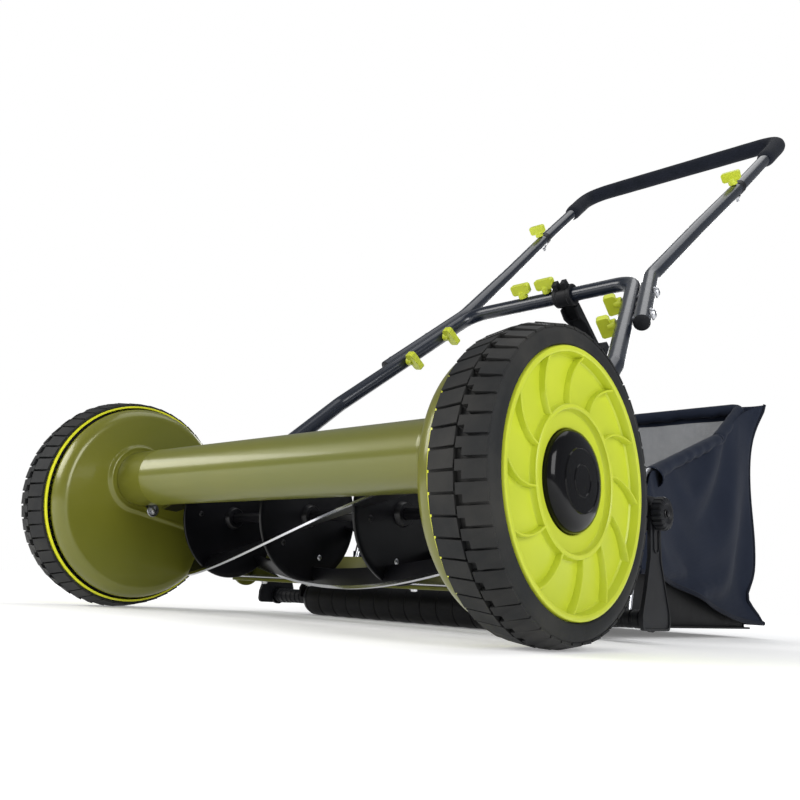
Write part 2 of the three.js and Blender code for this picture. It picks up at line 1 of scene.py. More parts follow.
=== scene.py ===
"""Looks for a push reel mower with a grass catcher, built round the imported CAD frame.

Pieces are drawn in millimetres in the part's frame and scaled to metres when a mesh is made. The
anchor points come from the joints and from the boxes of the CAD nodes.
"""
import json
import math

import bmesh
import bpy
from mathutils import Matrix, Vector, noise


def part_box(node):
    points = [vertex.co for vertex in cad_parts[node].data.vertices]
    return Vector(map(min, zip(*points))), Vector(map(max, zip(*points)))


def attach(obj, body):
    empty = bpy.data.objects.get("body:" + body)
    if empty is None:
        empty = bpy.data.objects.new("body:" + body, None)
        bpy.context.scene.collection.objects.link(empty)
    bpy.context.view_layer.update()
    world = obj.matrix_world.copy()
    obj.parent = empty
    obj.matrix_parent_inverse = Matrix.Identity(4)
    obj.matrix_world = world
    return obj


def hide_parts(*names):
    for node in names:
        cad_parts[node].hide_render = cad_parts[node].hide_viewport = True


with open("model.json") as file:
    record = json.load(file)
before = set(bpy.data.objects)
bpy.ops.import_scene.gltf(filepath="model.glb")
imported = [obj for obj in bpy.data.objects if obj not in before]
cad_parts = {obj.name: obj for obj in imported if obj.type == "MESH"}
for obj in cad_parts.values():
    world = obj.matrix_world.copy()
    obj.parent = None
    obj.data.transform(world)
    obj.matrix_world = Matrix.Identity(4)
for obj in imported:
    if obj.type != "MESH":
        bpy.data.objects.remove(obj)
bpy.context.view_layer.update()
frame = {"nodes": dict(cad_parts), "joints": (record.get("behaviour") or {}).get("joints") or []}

MM = 0.001
SIDES = ((1, "right"), (-1, "left"))
JOINTS = {j["name"]: j for j in frame["joints"]}


def anchor(joint):
    """Where a joint's axis stands, in millimetres."""
    return Vector(JOINTS[joint]["pos_m"]) / MM


AXLE = anchor("wheel_right_spin")
REEL = anchor("reel_spin")
ROLLER = anchor("roller_spin")
PIVOT = anchor("handle_tilt")
KNOB = anchor("height_knob_right_turn")
CROSSBAR = anchor("hanger_swing")


def from_axle(y, z=None):
    """A point of the Y-Z plane given from the axle's y and the ground."""
    return (AXLE.y + y, AXLE.z if z is None else z)


# ---- materials ---------------------------------------------------------------------------------
class Paint:
    """A node material made from a principled shader, with helpers for its usual layers."""

    def __init__(self, name, color, rough, metallic=0.0, **fixed):
        self.material = bpy.data.materials.new(name)
        self.material.use_nodes = True
        self.nodes = self.material.node_tree.nodes
        self.links = self.material.node_tree.links
        self.shader = self.nodes["Principled BSDF"]
        self.color = color
        self.rough = rough
        self.shader.inputs["Base Color"].default_value = (*color, 1)
        self.shader.inputs["Roughness"].default_value = rough
        self.shader.inputs["Metallic"].default_value = metallic
        for socket, value in fixed.items():
            self.shader.inputs[socket.replace("_", " ")].default_value = value
        self.place = self.nodes.new("ShaderNodeTexCoord").outputs["Object"]

    def stretched(self, scale):
        mapping = self.nodes.new("ShaderNodeMapping")
        mapping.inputs["Scale"].default_value = scale
        self.links.new(self.place, mapping.inputs["Vector"])
        return mapping.outputs["Vector"]

    def noise(self, scale, detail=3.0, stretch=(1, 1, 1)):
        node = self.nodes.new("ShaderNodeTexNoise")
        node.inputs["Scale"].default_value = scale
        node.inputs["Detail"].default_value = detail
        self.links.new(self.stretched(stretch), node.inputs["Vector"])
        return node.outputs["Fac"]

    def cells(self, scale):
        node = self.nodes.new("ShaderNodeTexVoronoi")
        node.inputs["Scale"].default_value = scale
        self.links.new(self.place, node.inputs["Vector"])
        return node.outputs["Distance"]

    def threads(self, scale, axis):
        node = self.nodes.new("ShaderNodeTexWave")
        node.bands_direction = axis
        node.inputs["Scale"].default_value = scale
        node.inputs["Distortion"].default_value = 0.4
        self.links.new(self.place, node.inputs["Vector"])
        return node.outputs["Fac"]

    def spread(self, fac, low, high):
        node = self.nodes.new("ShaderNodeMapRange")
        node.inputs["To Min"].default_value = low
        node.inputs["To Max"].default_value = high
        self.links.new(fac, node.inputs["Value"])
        return node.outputs["Result"]

    def joined(self, a, b, operation="MULTIPLY"):
        node = self.nodes.new("ShaderNodeMath")
        node.operation = operation
        self.links.new(a, node.inputs[0])
        self.links.new(b, node.inputs[1])
        return node.outputs["Value"]

    def tint(self, fac, other, low=0.35, high=0.65):
        """Mixes a second colour in where fac is high."""
        mix = self.nodes.new("ShaderNodeMix")
        mix.data_type = "RGBA"
        ramp = self.nodes.new("ShaderNodeMapRange")
        ramp.inputs["From Min"].default_value = low
        ramp.inputs["From Max"].default_value = high
        self.links.new(fac, ramp.inputs["Value"])
        self.links.new(ramp.outputs["Result"], mix.inputs["Factor"])
        mix.inputs["A"].default_value = (*self.color, 1)
        mix.inputs["B"].default_value = (*other, 1)
        self.links.new(mix.outputs["Result"], self.shader.inputs["Base Color"])
        return self

    def gloss(self, fac, swing):
        """Varies the roughness by swing either way."""
        result = self.spread(fac, self.rough - swing, self.rough + swing)
        self.links.new(result, self.shader.inputs["Roughness"])
        return self

    def bump(self, fac, strength, depth=0.0004):
        node = self.nodes.new("ShaderNodeBump")
        node.inputs["Strength"].default_value = strength
        node.inputs["Distance"].default_value = depth
        self.links.new(fac, node.inputs["Height"])
        last = self.shader.inputs["Normal"]
        if last.is_linked:
            self.links.new(last.links[0].from_socket, node.inputs["Normal"])
        self.links.new(node.outputs["Normal"], last)
        return self


def coated(name, color, other, rough, patches, uneven, bumps, metallic=0.0, **fixed):
    """Patches of a second tint, an uneven gloss and fine bumps, each given by its noise and amounts."""
    p = Paint(name, color, rough, metallic, **fixed)
    scale, detail, *edges = patches
    p.tint(p.noise(scale, detail), other, *edges)
    if uneven:
        p.gloss(p.noise(uneven[0]), uneven[1])
    for scale, detail, strength, depth in bumps:
        p.bump(p.noise(scale, detail), strength, depth)
    return p.material


def black_plastic(name="black_plastic", color=(0.007, 0.0075, 0.009), rough=0.45):
    p = Paint(name, color, rough, Specular_IOR_Level=0.18)
    p.tint(p.noise(35, 4), tuple(c * 1.7 for c in color)).gloss(p.noise(70), 0.07)
    return p.bump(p.cells(1700), 0.16, 0.0002).material


def steel(name="steel", color=(0.56, 0.57, 0.60), rough=0.28, stretch=(1, 12, 12)):
    p = Paint(name, color, rough, 1.0)
    scratches = p.noise(260, 4, stretch)
    p.tint(scratches, tuple(c * 0.8 for c in color)).gloss(scratches, 0.10)
    return p.bump(scratches, 0.12, 0.0001).material


def foam():
    p = Paint("foam", (0.006, 0.008, 0.013), 0.88, Sheen_Weight=0.04, Sheen_Roughness=0.5,
              Specular_IOR_Level=0.12)
    p.tint(p.noise(40, 5), (0.009, 0.011, 0.018))
    return p.bump(p.cells(900), 0.45, 0.0005).bump(p.noise(120, 4), 0.2, 0.0008).material


def cloth(name, color, other, strength):
    p = Paint(name, color, 0.82, Sheen_Weight=0.05, Sheen_Roughness=0.4, Specular_IOR_Level=0.15)
    weave = p.joined(p.threads(190, "Z"), p.threads(190, "DIAGONAL"))
    p.tint(p.joined(p.noise(26, 5), weave, "ADD"), other, 0.5, 1.3)
    return p.bump(weave, strength, 0.0004).bump(p.noise(160, 3), 0.15, 0.0006).material


def netting():
    """A fine net: dark threads a millimetre apart with light between them."""
    p = Paint("netting", (0.135, 0.143, 0.160), 0.75, Specular_IOR_Level=0.2)
    across, up = p.threads(170, "X"), p.threads(170, "Z")
    weave = p.joined(across, up, "MAXIMUM")
    p.tint(p.noise(30, 4), (0.168, 0.177, 0.195))
    p.links.new(p.spread(weave, 0.30, 0.85), p.shader.inputs["Alpha"])
    return p.bump(weave, 0.4, 0.0004).material


LIME = coated("lime_plastic", (0.52, 0.585, 0.030), (0.48, 0.55, 0.027), 0.42, (18, 3), (60, 0.06),
              [(1400, 2, 0.10, 0.0002), (45, 1, 0.05, 0.001)], Coat_Weight=0.10, Coat_Roughness=0.25)
RIM_EDGE = coated("rim_edge_plastic", (0.80, 0.80, 0.02), (0.72, 0.75, 0.02), 0.35, (30, 3), None,
                  [(1400, 2, 0.08, 0.0002)], Coat_Weight=0.2)
OLIVE = coated("olive_paint", (0.160, 0.162, 0.016), (0.140, 0.150, 0.016), 0.30, (6, 3), (40, 0.05),
               [(700, 2, 0.06, 0.0002), (2600, 1, 0.05, 0.0001)], 0.1, Coat_Weight=0.30,
               Coat_Roughness=0.08)
RUBBER = coated("tyre_rubber", (0.016, 0.017, 0.018), (0.034, 0.033, 0.031), 0.62, (22, 6, 0.40, 0.72),
                (90, 0.10), [(900, 4, 0.25, 0.0003)], Specular_IOR_Level=0.18)
PLASTIC = black_plastic()
ROLLER_PLASTIC = black_plastic("roller_plastic", (0.005, 0.005, 0.006), 0.40)
# The pan's black plastic is made darker than the other black plastic: painted shade for the shade low down
# under the bag.
PAN_PLASTIC_SHADED = black_plastic("pan_plastic_painted_shade", (0.0025, 0.0025, 0.003), 0.55)
GLOSS_PLASTIC = coated("gloss_black_plastic", (0.003, 0.003, 0.004), (0.005, 0.005, 0.006), 0.16, (25, 3),
                       (80, 0.03), [(60, 1, 0.02, 0.0005)], Specular_IOR_Level=0.10, Coat_Weight=0.20,
                       Coat_Roughness=0.04)
BLACK = coated("black_paint", (0.003, 0.003, 0.004), (0.007, 0.007, 0.009), 0.32, (14, 3), (50, 0.08),
               [(800, 2, 0.08, 0.0002)], Specular_IOR_Level=0.3, Coat_Weight=0.12, Coat_Roughness=0.12)
TUBE = coated("tube_coating", (0.007, 0.011, 0.020), (0.012, 0.016, 0.027), 0.28, (12, 3), (60, 0.05),
              [(900, 1, 0.04, 0.0001)], 0.1, Specular_IOR_Level=0.45, Coat_Weight=0.35, Coat_Roughness=0.10)
STEEL = steel()
GROUND_STEEL = steel("ground_steel", (0.72, 0.73, 0.76), 0.16, (14, 1, 1))
FOAM = foam()
CLOTH = cloth("cloth", (0.008, 0.012, 0.024), (0.015, 0.020, 0.036), 0.35)
BINDING = cloth("binding", (0.006, 0.008, 0.015), (0.011, 0.014, 0.024), 0.5)
NET = netting()


# ---- shapes ------------------------------------------------------------------------------------
class Shape:
    """Points in millimetres and faces under construction. Each face keeps its material's index."""

    def __init__(self):
        self.points, self.faces, self.slots = [], [], []

    def add(self, points, faces, slot=0):
        base = len(self.points)
        self.points += [Vector(p) for p in points]
        self.faces += [[base + i for i in face] for face in faces]
        self.slots += [slot] * len(faces)
        return self

    def solid(self, points, slot=0):
        """A closed body between two outlines, whose points follow one another."""
        n = len(points) // 2
        sides = [[i, (i + 1) % n, n + (i + 1) % n, n + i] for i in range(n)]
        return self.add(points, [list(range(n)), list(range(n, 2 * n)), *sides], slot)

    def merge(self, other, matrix=None):
        base = len(self.points)
        matrix = matrix or Matrix.Identity(4)
        self.points += [matrix @ p for p in other.points]
        self.faces += [[base + i for i in face] for face in other.faces]
        self.slots += other.slots
        return self


def drawn(name, shape, materials):
    """The mesh of a shape, in metres, with its materials."""
    mesh = bpy.data.meshes.new(name)
    mesh.from_pydata([p * MM for p in shape.points], [], shape.faces)
    for material in materials:
        mesh.materials.append(material)
    mesh.polygons.foreach_set("material_index", shape.slots)
    return mesh


def placed(name, data):
    """A new object in the scene."""
    piece = bpy.data.objects.new(name, data)
    bpy.context.scene.collection.objects.link(piece)
    return piece


def make(name, shape, materials, body, replaces=(), bevel=0.0, sharp=32, steps=2):
    """One Blender piece from a shape, riding on a CAD body."""
    mesh = drawn(name, shape, materials)
    clean(mesh)
    mesh.shade_smooth()
    mesh.set_sharp_from_angle(angle=math.radians(sharp))
    piece = placed(name, mesh)
    if bevel:
        edge = piece.modifiers.new("edge", "BEVEL")
        edge.width = bevel * MM
        edge.segments = steps
        edge.limit_method = "ANGLE"
        edge.angle_limit = math.radians(sharp)
        edge.harden_normals = True
    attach(piece, body)
    if replaces:
        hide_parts(*replaces)
    return piece


def clean(mesh):
    """Welds doubled points, drops empty faces and turns every face outwards."""
    work = bmesh.new()
    work.from_mesh(mesh)
    bmesh.ops.remove_doubles(work, verts=work.verts, dist=2e-6)
    bmesh.ops.dissolve_degenerate(work, edges=work.edges, dist=1e-7)
    bmesh.ops.recalc_face_normals(work, faces=work.faces)
    work.to_mesh(mesh)
    work.free()


def around(centre, r, angle):
    """The y and z of a point at radius r from a centre."""
    return centre.y + r * math.cos(angle), centre.z + r * math.sin(angle)


def strips(rows, sides, start=0):
    """Faces that join each ring of points to the next."""
    faces = []
    for i in range(start, start + (rows - 1) * sides, sides):
        for k in range(sides):
            n = (k + 1) % sides
            faces.append([i + k, i + n, i + sides + n, i + sides + k])
    return faces


def lathe(shape, profile, axis, side=1, segments=96, slot=0, closed=True, slots=None):
    """Turns a profile of [x, radius] about a line along X through axis = (y, z)."""
    count = len(profile)
    spans = count if closed else count - 1
    points, faces = [], []
    for i in range(segments):
        angle = 2 * math.pi * i / segments
        c, s = math.cos(angle), math.sin(angle)
        points += [(side * x, axis[0] + r * c, axis[1] + r * s) for x, r in profile]
        a, b = i * count, (i + 1) % segments * count
        for k in range(spans):
            n = (k + 1) % count
            faces.append([a + k, a + n, b + n, b + k])
    shape.add(points, faces, slot)
    if slots:
        shape.slots[-len(faces):] = slots[:spans] * segments
    return shape


def prism(shape, outline, x0, x1, slot=0):
    """An outline in the Y-Z plane made solid from x0 to x1."""
    return shape.solid([(x, y, z) for x in (x0, x1) for y, z in outline], slot)


def upright(shape, outline, z0, z1, slot=0):
    """An outline in the X-Y plane made solid from z0 to z1."""
    return shape.solid([(x, y, z) for z in (z0, z1) for x, y in outline], slot)


def brick(shape, low, high):
    outline = [(low[0], low[1]), (high[0], low[1]), (high[0], high[1]), (low[0], high[1])]
    return upright(shape, outline, low[2], high[2])


def circle(cy, cz, r, steps=32, start=0.0, sweep_deg=360.0):
    full = abs(sweep_deg) >= 360
    last = steps if full else steps - 1
    angles = [math.radians(start + sweep_deg * i / last) for i in range(steps)]
    return [(cy + r * math.cos(a), cz + r * math.sin(a)) for a in angles]


def cross(a, b, c):
    return (b[0] - a[0]) * (c[1] - a[1]) - (b[1] - a[1]) * (c[0] - a[0])


def belt(circles):
    """The outline of a belt stretched round circles given as (y, z, radius)."""
    points = sorted(p for y, z, r in circles for p in circle(y, z, r, 64))
    chains = []
    for run in (points, points[::-1]):
        chain = []
        for p in run:
            while len(chain) > 1 and cross(chain[-2], chain[-1], p) <= 1e-9:
                chain.pop()
            chain.append(p)
        chains += chain[:-1]
    return chains


def rounded(corners, radius, steps=10):
    """A path through corners with each one rounded off."""
    points = [Vector(c) for c in corners]
    path = [points[0]]
    for before, corner, after in zip(points, points[1:], points[2:]):
        back = (before - corner).normalized()
        ahead = (after - corner).normalized()
        reach = radius * math.tan((math.pi - back.angle(ahead)) / 2)
        start, end = corner + back * reach, corner + ahead * reach
        for i in range(steps + 1):
            t = i / steps
            path.append(start * (1 - t) ** 2 + corner * 2 * t * (1 - t) + end * t * t)
    return path + [points[-1]]


def sweep(shape, path, radius, sides=24, slot=0, flat=1.0, caps=True):
    """A round or flattened bar along a path. radius is a number or one number per point."""
    count = len(path)
    radii = radius if isinstance(radius, list) else [radius] * count
    tangent = (path[1] - path[0]).normalized()
    helper = Vector((0, 0, 1)) if abs(tangent.z) < 0.9 else Vector((1, 0, 0))
    normal = tangent.cross(helper).normalized()
    points = []
    for i, p in enumerate(path):
        ahead, behind = path[min(i + 1, count - 1)], path[max(i - 1, 0)]
        fresh = (ahead - behind).normalized()
        normal = (tangent.rotation_difference(fresh) @ normal).normalized()
        tangent = fresh
        other = tangent.cross(normal)
        for k in range(sides):
            a = 2 * math.pi * k / sides
            points.append(p + (normal * math.cos(a) * flat + other * math.sin(a)) * radii[i])
    faces = strips(count, sides)
    if caps:
        faces += [list(range(sides)), [(count - 1) * sides + k for k in range(sides)]]
    return shape.add(points, faces, slot)


def towards(origin, direction):
    """Places a shape built along +Z at origin, pointing along direction."""
    turn = Vector((0, 0, 1)).rotation_difference(Vector(direction).normalized())
    return Matrix.Translation(origin) @ turn.to_matrix().to_4x4()


def spun(profile, segments=32, slot=0):
    """A profile of [radius, z] turned about Z, for bolts, knobs and washers."""
    shape = Shape()
    lathe(shape, [(z, r) for r, z in profile], (0, 0), 1, segments, slot, closed=False)
    stand = Matrix(((0, 1, 0, 0), (0, 0, 1, 0), (1, 0, 0, 0), (0, 0, 0, 1)))
    shape.points = [stand @ p for p in shape.points]
    return shape


def polar(r, height, degrees):
    """Points of an arc or ellipse about zero, at the given angles."""
    return [(r * math.cos(math.radians(a)), height * math.sin(math.radians(a))) for a in degrees]


def bolt(r, head, washer, slot=0):
    """A hexagon head with a domed top on a washer, standing on z = 0."""
    shape = spun([(0, 0), (washer, 0), (washer, 0.8), (washer - 0.6, 1.3), (0, 1.3)], 28, slot)
    corner = 1.2 + head * 0.8
    upright(shape, polar(r, r, range(0, 360, 60)), 1.2, corner, slot)
    crown = [(0, 1), (r * 0.84, 1), (r * 0.84, corner), (r * 0.5, 1.2 + head), (0, 1.3 + head)]
    return shape.merge(spun(crown, 24, slot))


def rivet(r, height, slot=0):
    return spun([(r, -1.0), *polar(r, height, range(0, 91, 15))], 20, slot)


def dressed(node, material):
    """Keeps a CAD node's shape and gives it a finish."""
    shown = frame["nodes"][node]
    shown.data.materials.clear()
    shown.data.materials.append(material)


# ---- wheels ------------------------------------------------------------------------------------
LUGS = 50
PITCH = 2 * math.pi / LUGS
TREAD_R = 127.0
BASE_R = 121.8
RIBS = 12
LUG_HALF = 0.435
LUG_LEAN = 0.6
SHOULDERS = (284.5, 327.5)
SHOULDER_FALL = 1.1
# Lug plans as [x, share of a pitch]. The outer row leaves a pocket beside the middle line.
INNER_LUG = [(281.2, -LUG_HALF), (306.4, -LUG_HALF), (306.4, LUG_HALF), (281.2, LUG_HALF)]
OUTER_LUG = [(307.6, -LUG_HALF), (331.4, -LUG_HALF), (331.4, LUG_HALF), (313.5, LUG_HALF), (313.5, 0.08),
             (307.6, 0.08)]
RIB_SWEEP = math.radians(15)
RIB_FIRST = 131


def lug(shape, plan, turn, side):
    """One tread block: its top leans back like a shingle and its outer ends fall to the shoulder."""
    points = []
    for top in (False, True):
        for x, share in plan:
            shoulder = max(0.0, x - SHOULDERS[1], SHOULDERS[0] - x)
            high = TREAD_R - LUG_LEAN * (LUG_HALF - share) - SHOULDER_FALL * shoulder
            points.append((side * x, *around(AXLE, high if top else BASE_R - 1.5, turn + share * PITCH)))
    shape.solid(points)


def tyre(side):
    shape = Shape()
    outer = [(327, BASE_R), (330.5, 120.6), (332.6, 117.5), (333.4, 113.5), (333.5, 110.5)]
    lip = [(333.1, 107.6), (331.8, 106.2), (306.9, 106.1), (304.9, 120.4)]
    inner = [(280.8, 120.4), (280.8, 121), (283.5, BASE_R)]
    lathe(shape, inner + outer + lip, AXLE.yz, side, 160)
    for i in range(LUGS):
        lug(shape, INNER_LUG, i * PITCH, side)
        lug(shape, OUTER_LUG, (i + 0.5) * PITCH, side)
    return shape


def swirl(shape, start, side):
    """A thin curved rib of the wheel disc, from the hub ring out to the lip."""
    steps, low = 14, 324.0
    rows = []
    for i in range(steps + 1):
        t = i / steps
        r = 57.5 + 43.5 * t
        angle = start - side * RIB_SWEEP * t ** 1.7
        high = 330.6 + 1.8 * t - 1.2 * math.sin(math.pi * t)
        rows.append((r, angle, high))
    points = []
    for i, (r, angle, high) in enumerate(rows):
        ahead, behind = rows[min(i + 1, steps)], rows[max(i - 1, 0)]
        slope = (ahead[1] - behind[1]) * r / (ahead[0] - behind[0])
        across = 1.0 / math.cos(math.atan(slope)) / r
        half = [(low, 1.5), (high - 0.6, 1.0), (high, 0.55)]
        for x, width in half + [(x, -width) for x, width in reversed(half)]:
            points.append((side * x, *around(AXLE, r, angle + width * across)))
    n = len(points) // (steps + 1)
    shape.add(points, strips(steps + 1, n) + [list(range(n)), [steps * n + k for k in range(n)]])


def rim(side):
    shape = Shape()
    barrel = [(278, 117.6), (278, 119.4), (278.6, 119.8), (303.8, 119.4), (306, 105.6), (332.6, 105.6)]
    lip = [(333.7, 105.0), (334, 104.0), (334, 101.6), (333.4, 100.6), (332.0, 100.1), (326.6, 99.2),
           (325.4, 98.0)]
    hub = [(325, 96), (325, 63), (325.4, 61.2), (326.4, 60.5), (330.3, 60.0), (331, 59.2), (331, 56.8),
           (330.3, 56.0)]
    well = [(326.4, 55.4), (325.2, 54.6), (324.9, 52), (324.6, 42), (323.8, 41.2), (319.2, 41.2),
            (319.2, 8.4), (283.5, 8.4), (283.5, 16), (315, 17), (315, 101)]
    profile = barrel + lip + hub + well + [(301, 117.6)]
    slots = [1, 1, 1] + [0] * (len(profile) - 4) + [1]
    lathe(shape, profile, AXLE.yz, side, 144, slots=slots)
    for i in range(RIBS):
        swirl(shape, math.radians(RIB_FIRST + 360 // RIBS * i), side)
    return shape


def hub_cap(side):
    shape = Shape()
    dome = [(335.4, 0), (335.4, 11.6), (336.0, 12.0), (336.0, 12.6), (335.3, 13.0), (335.2, 20),
            (335.0, 24.4)]
    step = [(335.6, 24.8), (335.6, 25.4), (334.5, 25.9), (333.9, 30), (332.9, 33.8), (331.4, 37),
            (329.4, 39.4)]
    skirt = [(327.6, 40.4), (325, 40.7), (319.4, 40.7), (319.4, 37), (327, 33), (330, 20), (330, 0)]
    return lathe(shape, dome + step + skirt, AXLE.yz, side, 128, closed=False)


def wheels():
    for side, label in SIDES:
        body = f"wheel_{label}"
        make(f"tread_{label}", tyre(side), [RUBBER], body, [f"tyre_{label}"], 0.5)
        make(f"disc_{label}", rim(side), [LIME, RIM_EDGE], body, [f"rim_{label}"])
        make(f"cap_{label}", hub_cap(side), [GLOSS_PLASTIC], body,
             [f"hub_cap_{label}"])
        dressed(f"ring_gear_{label}", PLASTIC)
        for node in ("pinion", "axle_nut", "stub_axle", "reel_bearing"):
            dressed(f"{node}_{label}", STEEL)


# ---- frame -------------------------------------------------------------------------------------
PLATE_X, PLATE_T, BOSS_RISE = 258.0, 3.0, 3.5
DISH_FLAT, DISH_BEND, DISH_DEPTH = 102.0, 13.0, 17.0
DRUM = (*from_axle(-16, 153), 32.5)
DRUM_BOSS = (*from_axle(-16, 153), 40.5)
REEL_BOSS = (REEL.y, REEL.z, 24.0)


def front_tube():
    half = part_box("front_tube")[1].x / MM
    outer = [(half, 31.6), (half - 0.8, 32.4)]
    for x in (half - 46, -half + 46):
        outer += [(x + 2.2, 32.4), (x + 1.2, 32.75), (x - 1.2, 32.75), (x - 2.2, 32.4)]
    profile = outer + [(-half + 0.8, 32.4), (-half, 31.6), (-half, 30.5), (half, 30.5)]
    return lathe(Shape(), profile, DRUM[:2], 1, 128)


def boss_distance(y, z):
    """Distance outside the teardrop drawn round the tube boss and the reel boss."""
    (ay, az, ra), (by, bz, rb) = DRUM_BOSS, REEL_BOSS
    line = Vector((by - ay, bz - az))
    point = Vector((y - ay, z - az))
    l2, fall = line.length_squared, ra - rb
    a2 = l2 - fall * fall
    along = point.dot(line)
    past = along - l2
    x2 = (point * l2 - line * along).length_squared
    y2, z2 = along * along * l2, past * past * l2
    k = math.copysign(1, fall) * fall * fall * x2
    if math.copysign(1, past) * a2 * z2 > k:
        return math.sqrt(x2 + z2) / l2 - rb
    if math.copysign(1, along) * a2 * y2 < k:
        return math.sqrt(x2 + y2) / l2 - ra
    return (math.sqrt(x2 * a2 / l2) + along * fall) / l2 - ra


def smooth(low, high, value):
    t = min(1.0, max(0.0, (value - low) / (high - low)))
    return t * t * (3 - 2 * t)


def plate_x(r, y, z):
    """How far out the inner face of a side plate stands at radius r from the axle."""
    if r > DISH_FLAT:
        lean = math.asin(min(1.0, (r - DISH_FLAT) / DISH_BEND))
        x = PLATE_X + DISH_DEPTH * (1 - math.cos(lean))
    else:
        x = PLATE_X
    d = boss_distance(y, z)
    rise = BOSS_RISE * (1 - smooth(-1.8, 1.2, d)) + 0.7 * math.exp(-((d + 3.2) / 1.2) ** 2)
    return x - rise


def side_plate(side):
    """A dished disc with its boss, and the lobes that carry the reel, the cutter bar and the handle."""
    shape = Shape()
    flats, bends, spokes, bore = 80, 16, 264, 8.5
    radii = [bore + (DISH_FLAT - bore) * i / (flats - 1) for i in range(flats)]
    radii += [DISH_FLAT + DISH_BEND * math.sin(math.pi / 2 * i / bends) for i in range(1, bends + 1)]
    points = []
    for back in (0.0, PLATE_T):
        for r in radii:
            inset = 0.985 if back and r > DISH_FLAT else 1.0
            for k in range(spokes):
                y, z = around(AXLE, r, 2 * math.pi * k / spokes)
                yy, zz = AXLE.y + (y - AXLE.y) * inset, AXLE.z + (z - AXLE.z) * inset
                points.append((side * (plate_x(r, y, z) + back), yy, zz))
    far = len(radii) * spokes
    faces = strips(len(radii), spokes) + strips(len(radii), spokes, far)
    for ring in (0, far - spokes):
        for k in range(spokes):
            n = ring + (k + 1) % spokes
            faces.append([ring + k, n, far + n, far + ring + k])
    shape.add(points, faces)
    x0, x1 = side * PLATE_X, side * (PLATE_X + PLATE_T)
    lobe = [(REEL.y, REEL.z, 24), (*from_axle(163, 58), 24), (*from_axle(130, 130), 20)]
    ear = [(*from_axle(60, 150), 30), (PIVOT.y, PIVOT.z, 15)]
    for outline in (lobe, ear):
        prism(shape, belt(outline), x0, x1)
    return shape


def plate_bolts(side):
    """The bolt under the tube, two bolts on the cutter-bar lobe and the reel bearing's flange."""
    shape = Shape()
    face = side * (PLATE_X - 0.2)
    for y, z, rise in ((5, 117, BOSS_RISE), (150, 74, 0), (170, 60, 0)):
        at = Vector((face - side * rise, AXLE.y + y, z))
        shape.merge(bolt(5.2, 4.2, 8), towards(at, (-side, 0, 0)))
    at = Vector((side * (PLATE_X - BOSS_RISE - 0.1), REEL.y, REEL.z))
    flange = spun([(6.4, 0), (17, 0), (17, 0.9), (15.5, 1.5), (10, 1.6), (8.5, 2.6), (6.4, 2.6)], 40)
    return shape.merge(flange, towards(at, (-side, 0, 0)))


def rear_bracket(side):
    shape = Shape()
    inner, outer, t = PLATE_X - 0.35, 280.8, 3.5
    line = [(inner - t / 2, 124), (inner - t / 2, 169), (outer - t / 2, 189), (outer - t / 2, 262)]
    path = rounded([(side * x, AXLE.y + y, 0) for x, y in line], 8, 5)
    across = []
    for i, p in enumerate(path):
        run = (path[min(i + 1, len(path) - 1)] - path[max(i - 1, 0)]).normalized()
        across.append(Vector((-run.y, run.x, 0)) * (t / 2))
    outline = [p + a for p, a in zip(path, across)]
    outline += [p - a for p, a in zip(path[::-1], across[::-1])]
    upright(shape, [(p.x, p.y) for p in outline], 110, 146)
    for y in (144, 161):
        at = Vector((side * (inner - t), AXLE.y + y, 137))
        shape.merge(rivet(4.6, 1.3, 1), towards(at, (-side, 0, 0)))
    return shape


def pivot_bolt(side):
    shape = Shape()
    for x0, x1, r in ((221, PLATE_X + 9, 3.9), (247.4, PLATE_X - 0.4, 7.2)):
        prism(shape, circle(PIVOT.y, PIVOT.z, r, 28), side * x0, side * x1)
    out = Vector((side * (PLATE_X + PLATE_T + 0.3), PIVOT.y, PIVOT.z))
    shape.merge(bolt(6.5, 5, 9), towards(out, (side, 0, 0)))
    inward = Vector((side * 223.5, PIVOT.y, PIVOT.z))
    return shape.merge(bolt(6.2, 4, 8.5), towards(inward, (-side, 0, 0)))


def bed_bar():
    """The cutter bar: a folded steel section whose front lip carries the knife."""
    shape = Shape()
    end = PLATE_X - 0.4
    section = [(139, 40), (171, 43.2), (187, 74), (183.5, 76), (168.6, 46.9), (139, 43.9)]
    return prism(shape, [from_axle(y, z) for y, z in section], -end, end)


def bed_knife():
    shape = Shape()
    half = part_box("bed_knife")[1].x / MM
    section = [(135.9, 46), (136.6, 44.5), (166, 47.5), (165.8, 49.2), (140.5, 47.0)]
    prism(shape, [from_axle(y, z) for y, z in section], -half, half)
    for i in range(6):
        at = Vector((-half + 40 + i * (2 * half - 80) / 5, AXLE.y + 156, 41.5))
        shape.merge(bolt(4.2, 3.0, 6.5), towards(at, (0, 0.1, -1)))
    return shape


def machine_frame():
    make("cross_tube", front_tube(), [OLIVE], "frame", ["front_tube"], 0.25)
    make("cutter_bar", bed_bar(), [OLIVE], "frame", ["bed_bar"], 0.9, steps=3)
    make("cutter_knife", bed_knife(), [GROUND_STEEL], "frame", ["bed_knife"], 0.2)
    for side, label in SIDES:
        make(f"plate_{label}", side_plate(side), [OLIVE], "frame", [f"side_plate_{label}"],
             0.8, 40)
        make(f"plate_bolts_{label}", plate_bolts(side), [STEEL], "frame", bevel=0.25)
        make(f"bracket_{label}", rear_bracket(side), [BLACK, STEEL], "frame",
             [f"rear_bracket_{label}"], 0.4)
        make(f"handle_bolt_{label}", pivot_bolt(side), [STEEL], "frame", [f"pivot_bolt_{label}"],
             0.3)


# ---- reel --------------------------------------------------------------------------------------
BLADES = 5
TWIST, PHASE = math.radians(108), math.radians(-166)
BLADE_HALF = 252.0
DISCS = (-212, -71, 71, 212)


def blade_angle(index, x):
    return PHASE + index * 2 * math.pi / BLADES - x / (2 * BLADE_HALF) * TWIST


